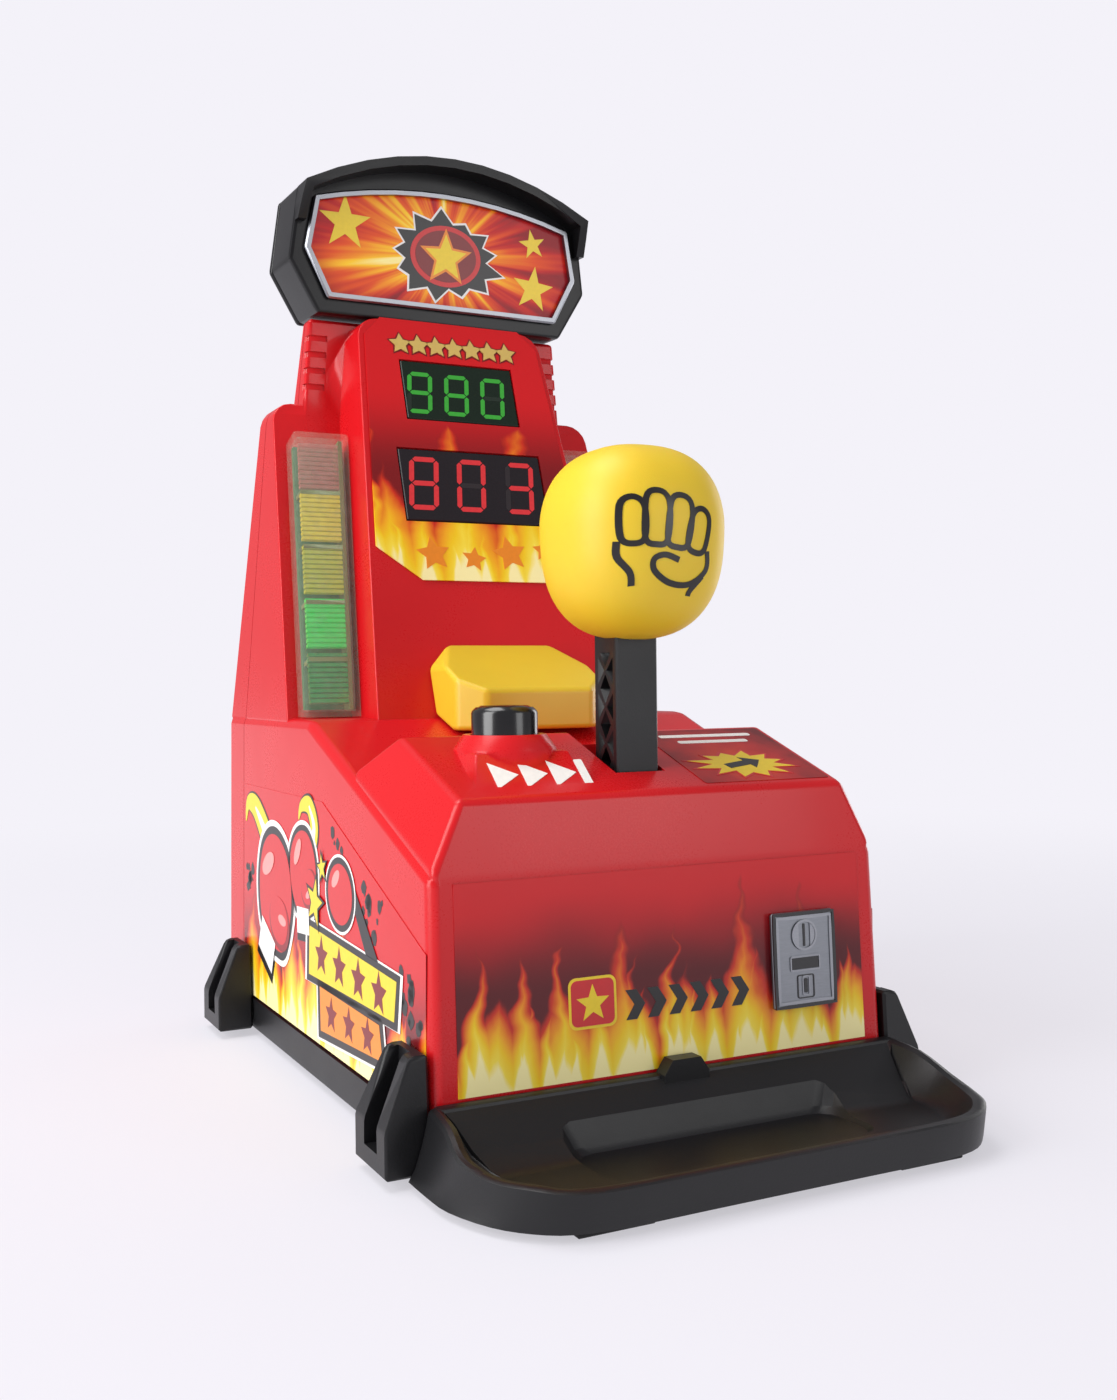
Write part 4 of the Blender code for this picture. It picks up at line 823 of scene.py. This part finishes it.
def build_digits():
    """Lit bars and unlit ones on both displays: three digits each."""
    for word, digits, places, middle, size, lit, strength, dim in (
            ("green", "980", (-10.8, -1.1, 8.6), 82.1, (5.4, 10.2, 1.1), "3fbf3a", 0.75, "1b2a1e"),
            ("red", "803", (-13.1, -0.8, 12.1), 57.75, (6.3, 12.6, 1.25), "ef2f36", 0.85, "2a2225")):
        bars = digit_segments(*size)
        on, off = bmesh.new(), bmesh.new()
        for character, x in zip(digits, places):
            for letter, outline in bars.items():
                outline = [(px + x + ps * DIGIT_LEAN, ps + middle) for px, ps in outline]
                if letter in SEGMENTS[character]:
                    plate(on, outline, PANEL, DIGIT_FOOT, DIGIT_LIT)
                else:
                    plate(off, outline, PANEL, DIGIT_FOOT, DIGIT_UNLIT)
        from_bmesh(word + "_digits", on, glow(word + "_digit_light", lit, strength), "machine",
                   smooth=False)
        from_bmesh(word + "_digits_off", off, printed(word + "_digit_dark", dim), "machine",
                   smooth=False)


build_digits()

# -------------------- light columns
# Cells from the top down: colour, how solid they look and how strongly they are lit.
CELLS = (("b9716c", 0.4, 0.06), ("b0a52a", 0.8, 0.22), ("98a02c", 0.8, 0.18), ("1fae46", 0.85, 0.3),
         ("177a3a", 0.8, 0.2))
LENS_FOOT, LENS_TOP = 6.2, 72.6    # ends of the run of cells, up the panel
LENS_FRONT = 8.0               # from the tower's face back to the lens's
CELL_GAP = 1.1
RIB_PITCH, RIB_HALF = 1.15, 0.4


def lens_edges(s):
    """Inner and outer x of a light column, s up the panel."""
    z = PANEL_FOOT + s * PANEL.cos
    outer = between(z, PANEL_FOOT, WING_TOP, HALF_WINGS) - 2.3
    return between(z - WING_BEHIND * PANEL.sin, PANEL_FOOT, NECK_FOOT, HALF_TOWER) + 0.3, outer


def build_light_columns():
    """The lenses, the walls and boards behind them, and the cells as stacks of ribs."""
    smoke = moulded("cell_wall_smoke", "66723c", 0.4)
    shell = clear_plastic("lens_clear", "c9d6c2", 0.05)
    for side, word in ((-1, "left"), (1, "right")):
        refine("light_lens_" + word, "lens_case_" + word, shell)
        refine("light_partition_" + word, "cell_walls_" + word, smoke)
        refine("light_board_" + word, "lamp_board_" + word, board_green)
        step = (LENS_TOP - LENS_FOOT) / len(CELLS)
        for i, (code, alpha, light) in enumerate(reversed(CELLS)):
            s0 = LENS_FOOT + step * i + CELL_GAP / 2
            s1 = LENS_FOOT + step * (i + 1) - CELL_GAP / 2
            bm = bmesh.new()
            count = int((s1 - s0) / RIB_PITCH)
            for k in range(count):
                s = s0 + (s1 - s0) * (k + 0.5) / count
                inner, outer = lens_edges(s)
                x0, x1 = side * (inner + 2.5), side * (outer - 1.6)
                low, high = -(LENS_FRONT + 1.65), -(WING_BEHIND - 4.6)
                loft(bm, [[PANEL(x, t, d) for x, d in ((x0, low), (x1, low), (x1, high), (x0, high))]
                          for t in (s - RIB_HALF, s + RIB_HALF)])
            g = Graph("cell_%s_%d" % (word, i), 0.16, Coat_Weight=0.4)
            grain = g.noise(g.vector(*g.position()), 0.6, 2.0)
            colour = g.mix(grain, linear(code), shaded(code, 1.5))
            g.set("Base Color", colour)
            g.set("Emission Color", colour)
            g.set("Emission Strength", light)
            g.set("Alpha", grain * 0.1 + alpha)
            from_bmesh("cell_ribs_%s_%d" % (word, i + 1), bm, g.material, "machine",
                       smooth=False)


build_light_columns()


# -------------------- coin plate
def build_coin_plate():
    """Frame, round coin entry, slot and return button on the plate's face."""
    refine("coin_plate", "coin_face", metal("coin_metal", "8d9096", 0.34))
    x0, x1, s0, s1 = 21.8, 36.5, 8.1, 26.4
    dark, bright = bmesh.new(), bmesh.new()
    feet = {dark: 1.2, bright: 1.25}

    def rim(bm, outline, width, top, step=1.0):
        stroke(bm, outline, width, FRONT, feet[bm], top, closed=True, step=step)

    def raised(bm, outline, top):
        plate(bm, outline, FRONT, feet[bm], top)

    for bm, inset, width, top in ((dark, 0.35, 0.7, 1.55), (bright, 1.05, 0.65, 1.5)):
        rim(bm, [(x0 + inset, s0 + inset), (x1 - inset, s0 + inset), (x1 - inset, s1 - inset),
                 (x0 + inset, s1 - inset)], width, top, 3.0)
    cx, cs = (x0 + x1) / 2, 21.9
    rim(bright, ellipse(cx, cs, 2.75, 2.75, 40), 0.45, 1.6)
    for side in (-1, 1):
        turns = [math.pi / 2 + math.pi * k / 14 for k in range(15)]
        half_disc = [(cx + side * (1.35 - 1.15 * math.cos(a)), cs + 2.1 * math.sin(a)) for a in turns]
        raised(bright, half_disc, 1.5)
    raised(dark, rounded(cx - 0.25, cx + 0.25, cs - 2.2, cs + 2.2, 0.2), 1.4)
    raised(dark, rounded(cx - 3.2, cx + 3.2, 15.4, 17.6, 0.25), 1.36)
    rim(bright, rounded(cx - 3.4, cx + 3.4, 15.2, 17.8, 0.3), 0.3, 1.5)
    rim(dark, rounded(cx - 1.9, cx + 1.9, 9.9, 14.2, 0.4), 0.26, 1.42)
    raised(dark, rounded(cx - 0.42, cx + 0.42, 10.8, 13.6, 0.3), 1.4)
    rim(bright, rounded(cx - 0.75, cx + 0.75, 10.4, 14.0, 0.4), 0.22, 1.46)
    from_bmesh("coin_frame_dark", dark, black_gloss, "machine", smooth=False)
    from_bmesh("coin_frame_bright", bright, silver, "machine", smooth=False)


build_coin_plate()


# -------------------- printed shapes
# A shape that lies on another stands a little higher: on a film, on one print and on two.
ON_PRINT, ON_TWO = 0.17, 0.21
ON_SCORE_FILM = 0.5


def build_front_badge():
    """Red badge with a star, and a row of dark chevrons beside it."""
    decal("front_badge_edge", [rounded(-22.1, -12.3, 9.3, 18.5, 1.5)], FRONT, yellow_ink)
    decal("front_badge", [rounded(-21.6, -12.8, 9.8, 18.0, 1.2)], FRONT, red_ink, lift=ON_PRINT)
    decal("front_badge_star", [star(-17.2, 13.7, 3.5)], FRONT, yellow_ink, lift=ON_TWO)
    chevrons = []
    for k in range(6):
        x = -10.4 + k * 4.6
        chevrons.append([(x, 9.9), (x + 2.3, 9.9), (x + 4.1, 12.6), (x + 2.3, 15.3), (x, 15.3),
                         (x + 1.8, 12.6)])
    decal("front_chevrons", chevrons, FRONT, black_ink)


def build_gold_row():
    """Row of gold stars over the green display."""
    row = [(-14.2 + 4.74 * k, 95.2) for k in range(7)]
    decal("gold_row_edge", [star(x, s, 3.5, inner=0.56) for x, s in row], PANEL, dark_red_ink,
          lift=ON_SCORE_FILM, thick=0.04)
    decal("gold_row", [star(x, s, 2.9, inner=0.5) for x, s in row], PANEL, gold,
          lift=ON_SCORE_FILM + 0.04, thick=0.2)


def build_panel_stars():
    """Four stars in the flames under the red display."""
    stars = ((-13.2, 39.6, 4.4, 0.1), (-3.0, 38.6, 3.2, -0.2), (6.6, 40.2, 4.6, 0.15), (15.8, 41.4, 3.0, 0.0))
    decal("panel_stars", [star(x, s, r, turn=t, inner=0.5) for x, s, r, t in stars], PANEL, orange_ink,
          lift=ON_SCORE_FILM)


def build_deck_art():
    """An arrow on a burst, with two bars over it."""
    middle = (24.6, 10.2)
    decal("deck_burst_edge", [burst(*middle, 12.0, 7.2, 12, 0.66, 3)], DECK, red_ink)
    decal("deck_burst", [burst(*middle, 10.8, 6.3, 12, 0.66, 3)], DECK, yellow_ink, lift=ON_PRINT)
    arrow = [(-5.4, -1.3), (1.6, -1.3), (1.6, -3.4), (6.2, 0.0), (1.6, 3.4), (1.6, 1.3), (-5.4, 1.3)]
    decal("deck_arrow", [moved(arrow, 24.4, 10.2, 0.82, 0.25)], DECK, black_ink, lift=ON_TWO)
    bars = [rounded(13.7, 36.2, 24.6, 26.0, 0.6), rounded(16.4, 33.5, 21.4, 22.8, 0.6)]
    decal("deck_bars", bars, DECK, white_ink)


build_front_badge()
build_gold_row()
build_panel_stars()
build_deck_art()


def start_face(x, s, lift=0.0):
    """Sloping front of the start block: x across, s up the slope."""
    low, high = Vector((0.0, 41.1, 63.0)), Vector((0.0, 51.1, 71.5))
    along = (high - low).normalized()
    out = Vector((0.0, -along.z, along.y))
    point = low + along * s + out * lift
    return place(x, point.y, point.z)


def build_start_mark():
    """White symbols on the start block: three triangles and a bar."""
    shapes = []
    for k in range(3):
        x = -32.0 + k * 6.0
        shapes.append([(x, 3.6), (x + 5.2, 7.0), (x, 10.4)])
    shapes.append(rounded(-14.2, -12.4, 3.6, 10.4, 0.3))
    decal("start_symbol", shapes, start_face, white_ink, lift=0.02, thick=0.06)


build_start_mark()


# -------------------- side artwork
GLOVE = [(-9.5, -8.0), (-4.0, -10.5), (3.0, -11.0), (8.5, -7.5), (11.5, -1.0), (11.0, 5.5), (7.0, 10.0),
         (1.0, 11.8), (-5.5, 10.5), (-10.0, 6.0), (-11.5, 0.0)]
THUMB = [(-10.5, -6.5), (-6.5, -9.0), (-1.0, -8.6), (2.0, -5.6), (1.5, -2.0), (-2.5, 0.4), (-7.5, 0.6),
         (-11.0, -2.0)]
# Each glove's number, middle, size, tilt, curl of speed and the curl's width.
GLOVES = ((1, 130.0, 36.5, 1.16, 0.3, ((131, 43), (139, 50), (147, 55), (153.5, 55.5), (155.5, 51.0)), 8.0),
          (2, 108.5, 43.5, 0.82, -0.2, ((104, 49), (101, 54), (104.5, 58.5), (110, 58.0), (112, 55.0)), 5.6))
CUFF = [(5.5, -16.5), (14.5, -10.0), (10.2, -4.0), (1.5, -10.5)]


def swoosh(points, widest):
    """A tapering curl through points: widest at its start, and a point at its end."""
    run = smooth_outline(points, 8, closed=False)
    left, right = [], []
    for i, (x, s) in enumerate(run):
        before, after = run[max(i - 1, 0)], run[min(i + 1, len(run) - 1)]
        dx, ds = after[0] - before[0], after[1] - before[1]
        length = math.hypot(dx, ds)
        half = widest / 2 * (1 - (i / len(run)) ** 1.6) + 0.1
        left.append((x - ds / length * half, s + dx / length * half))
        right.append((x + ds / length * half, s - dx / length * half))
    return left + right[::-1]


def build_side_art():
    """Gloves with curls of speed, and slanted bars with stars under a punching ball."""
    pink = printed("glove_light", "f79a94")
    deep = printed("glove_shade", "8e1018")
    for side, word in ((-1, "left"), (1, "right")):
        face = side_face(side)

        def ink(name, shapes, material, lift, step=4.0):
            decal("%s_%s" % (name, word), shapes, face, material, lift=lift, thick=0.03, step=step)

        for number, x, s, size, tilt, curl, widest in GLOVES:
            ink("side_curl_edge_%d" % number, [swoosh(curl, widest + 1.6)], black_ink, 0.13)
            ink("side_curl_%d" % number, [swoosh(curl, widest)], yellow_ink, 0.16)
            ink("side_curl_light_%d" % number, [swoosh(curl[:3], widest * 0.45)], white_ink, 0.19)
            for part, shape, grow, material, lift in (
                    ("rim", GLOVE, 1.2, white_ink, 0.22), ("edge", GLOVE, 1.1, black_ink, 0.25),
                    ("skin", GLOVE, 0.97, red_ink, 0.28)):
                outline = smooth_outline(moved(shape, x, s, size * grow, tilt))
                ink("side_glove_%s_%d" % (part, number), [outline], material, lift)
            for part, grow, material, lift in (("glove_shade", 1.02, deep, 0.31),
                                               ("thumb", 0.9, red_ink, 0.34)):
                outline = smooth_outline(moved(THUMB, x, s, size * grow, tilt))
                ink("side_%s_%d" % (part, number), [outline], material, lift)
            lights = [ellipse(x + 4.6 * size, s + 5.4 * size, 4.4 * size, 2.0 * size, 24, tilt - 0.7),
                      ellipse(x - 5.2 * size, s - 4.6 * size, 2.6 * size, 1.0 * size, 20, tilt - 0.2)]
            ink("side_glove_light_%d" % number, lights, pink, 0.37)
            ink("side_cuff_edge_%d" % number, [moved(CUFF, x, s, size * 1.06, tilt - 0.5)], black_ink, 0.22)
            ink("side_cuff_%d" % number, [moved(CUFF, x, s, size * 0.94, tilt - 0.5)], white_ink, 0.4)

        ball = (83.8, 42.4)
        strap = [(78.5, 44.0), (75.5, 45.0), (60.0, 31.0), (66.0, 30.0)]
        bars = ([(105.2, 34.6), (50.4, 32.2), (51.8, 22.0), (105.6, 21.4)],
                [(98.2, 23.0), (59.6, 22.6), (57.4, 13.4), (97.4, 11.0)])
        faces = ([(103.6, 33.2), (52.2, 30.9), (53.4, 23.4), (104.0, 22.9)],
                 [(96.6, 21.6), (61.2, 21.2), (59.2, 14.8), (95.9, 12.6)])
        middle = (78.0, 24.5)
        centred = [[(x - middle[0], s - middle[1]) for x, s in bar] for bar in bars]
        ink("side_bar_rim", [moved(bar, *middle, 1.045) for bar in centred], white_ink, 0.24)
        ink("side_strap", [strap], black_ink, 0.25)
        ink("side_ball_rim", [ellipse(*ball, 9.4, 8.0, 36)], white_ink, 0.26)
        ink("side_ball_edge", [ellipse(*ball, 8.8, 7.4, 36)], black_ink, 0.28)
        ink("side_ball", [ellipse(*ball, 7.4, 6.1, 36)], red_ink, 0.31)
        ink("side_ball_light", [ellipse(ball[0] + 2.6, ball[1] + 2.8, 2.8, 1.3, 24, -0.6)], pink, 0.34)
        ink("side_bar_edge", bars, black_ink, 0.3)
        ink("side_bar_upper", [faces[0]], yellow_ink, 0.33)
        ink("side_bar_lower", [faces[1]], orange_ink, 0.33)
        upper = [star(95.5 - 11.4 * k, 28.1 - 0.35 * k, 4.3, inner=0.46) for k in range(4)]
        lower = [star(89.0 - 10.8 * k, 17.2 + 0.25 * k, 3.7, inner=0.46) for k in range(3)]
        ink("side_bar_stars", upper + lower, dark_red_ink, 0.36)
        for name, sizes, material, lift in (("side_star_edge", (6.8, 3.9), black_ink, 0.38),
                                            ("side_star", (5.2, 2.8), yellow_ink, 0.41)):
            ink(name, [star(100.0, 38.6, sizes[0], turn=0.2), star(95.2, 46.4, sizes[1], turn=-0.2)],
                material, lift)
        dice = random.Random(21)
        blots = []
        for cx, cs, spread, count in ((65.0, 41.0, 5.5, 12), (86.0, 52.5, 3.5, 5), (49.5, 30.5, 4.5, 10),
                                      (43.5, 22.5, 3.5, 7), (152.0, 37.0, 3.0, 9)):
            for k in range(count):
                x, s = cx + dice.uniform(-1, 1) * spread, cs + dice.uniform(-1, 1) * spread
                r = dice.uniform(0.35, 1.7)
                blots.append([(x + r * dice.uniform(0.7, 1.3) * math.cos(a),
                               s + r * dice.uniform(0.7, 1.3) * math.sin(a))
                              for a in (math.tau * q / 9 for q in range(9))])
        ink("side_blots", blots, black_ink, 0.13)


build_side_art()

# -------------------- inner pieces
INNER = ((steel, ("pivot_shaft", "arm_return_spring", "battery_1", "battery_2", "battery_3")),
         (brass, ("impact_sensor",)),
         (black, ("pivot_bracket_left", "pivot_bracket_right", "battery_box", "start_switch", "speaker",
                  "green_digit_module", "red_digit_module")),
         (board_green, ("main_board", "display_board", "marquee_light_board")))
for look, node_names in INNER:
    for node_name in node_names:
        for slot in NODES[node_name].material_slots:
            slot.material = look


# -------------------- stage, light, camera
def build_stage():
    """A pale floor that lights itself further out, so that it meets the backdrop, and a pale world."""
    pale = linear("f4f2f9")
    g = Graph("floor_pale", 0.9)
    x, y, z = g.position()
    far = g.math("SQRT", x * x + y * y)
    near = 1.0 - g.step(140.0, 700.0, far)
    g.set("Base Color", g.mix(near, (0.0, 0.0, 0.0), tuple(c * 0.34 for c in pale)))
    g.set("Specular IOR Level", 0.0)
    g.set("Emission Color", pale)
    g.set("Emission Strength", 1.0 - near * 0.42)
    bm = bmesh.new()
    count = 96
    rings = [[Vector((r * math.cos(math.tau * k / count), r * math.sin(math.tau * k / count), -0.0002))
              for k in range(count)] for r in (0.0001, 0.3, 1.0, 3.0, 30.0)]
    loft(bm, rings, caps=False)
    mesh = bpy.data.meshes.new("floor")
    bm.to_mesh(mesh)
    bm.free()
    mesh.materials.append(g.material)
    new_object("floor", mesh)

    world = bpy.data.worlds.new("studio")
    SCENE.world = world
    world.use_nodes = True
    tree = world.node_tree
    light, seen = tree.nodes["Background"], tree.nodes.new("ShaderNodeBackground")
    light.inputs["Color"].default_value = (*pale, 1.0)
    light.inputs["Strength"].default_value = 0.4
    seen.inputs["Color"].default_value = (*pale, 1.0)
    mixer, path = tree.nodes.new("ShaderNodeMixShader"), tree.nodes.new("ShaderNodeLightPath")
    tree.links.new(path.outputs["Is Camera Ray"], mixer.inputs[0])
    tree.links.new(light.outputs[0], mixer.inputs[1])
    tree.links.new(seen.outputs[0], mixer.inputs[2])
    tree.links.new(mixer.outputs[0], tree.nodes["World Output"].inputs[0])


def softbox(name, at, target, size, power):
    lamp = bpy.data.lights.new(name, "AREA")
    lamp.shape = "RECTANGLE"
    lamp.size, lamp.size_y = size
    lamp.energy = power
    obj = new_object(name, lamp)
    obj.location = at
    obj.rotation_euler = (Vector(target) - Vector(at)).to_track_quat("-Z", "Y").to_euler()


def build_camera():
    """The camera, turned by azimuth and elevation about the object and by roll about its own axis."""
    azimuth, elevation, roll = (math.radians(a) for a in (-26.24, 0.07, -0.63))
    back = Vector((math.sin(azimuth) * math.cos(elevation), -math.cos(azimuth) * math.cos(elevation),
                   math.sin(elevation)))
    right = (-back).cross(Vector((0, 0, 1))).normalized()
    up = right.cross(-back)
    turn = Matrix((right * math.cos(roll) + up * math.sin(roll), up * math.cos(roll) - right * math.sin(roll),
                   back)).transposed()
    camera = bpy.data.cameras.new("camera")
    camera.sensor_width = 36.0
    camera.lens = 35.852
    camera.shift_x, camera.shift_y = 0.0234, -0.0136
    camera.clip_start = 0.01
    obj = new_object("camera", camera)
    obj.matrix_world = Matrix.Translation((-0.13801, -0.27014, 0.08499)) @ turn.to_4x4()
    SCENE.camera = obj


build_stage()
softbox("key", (-0.95, -0.1, 0.4), (0, 0, 0.08), (0.6, 0.9), 10.5)
softbox("top", (-0.35, 0.1, 1.05), (0, 0, 0.1), (0.7, 0.6), 6.5)
softbox("fill", (0.55, -1.1, 0.35), (0, 0, 0.08), (0.5, 0.6), 2.6)
softbox("rim", (0.9, 0.3, 0.25), (0, 0, 0.1), (0.4, 0.5), 1.6)
build_camera()
SCENE.view_settings.view_transform = "Standard"
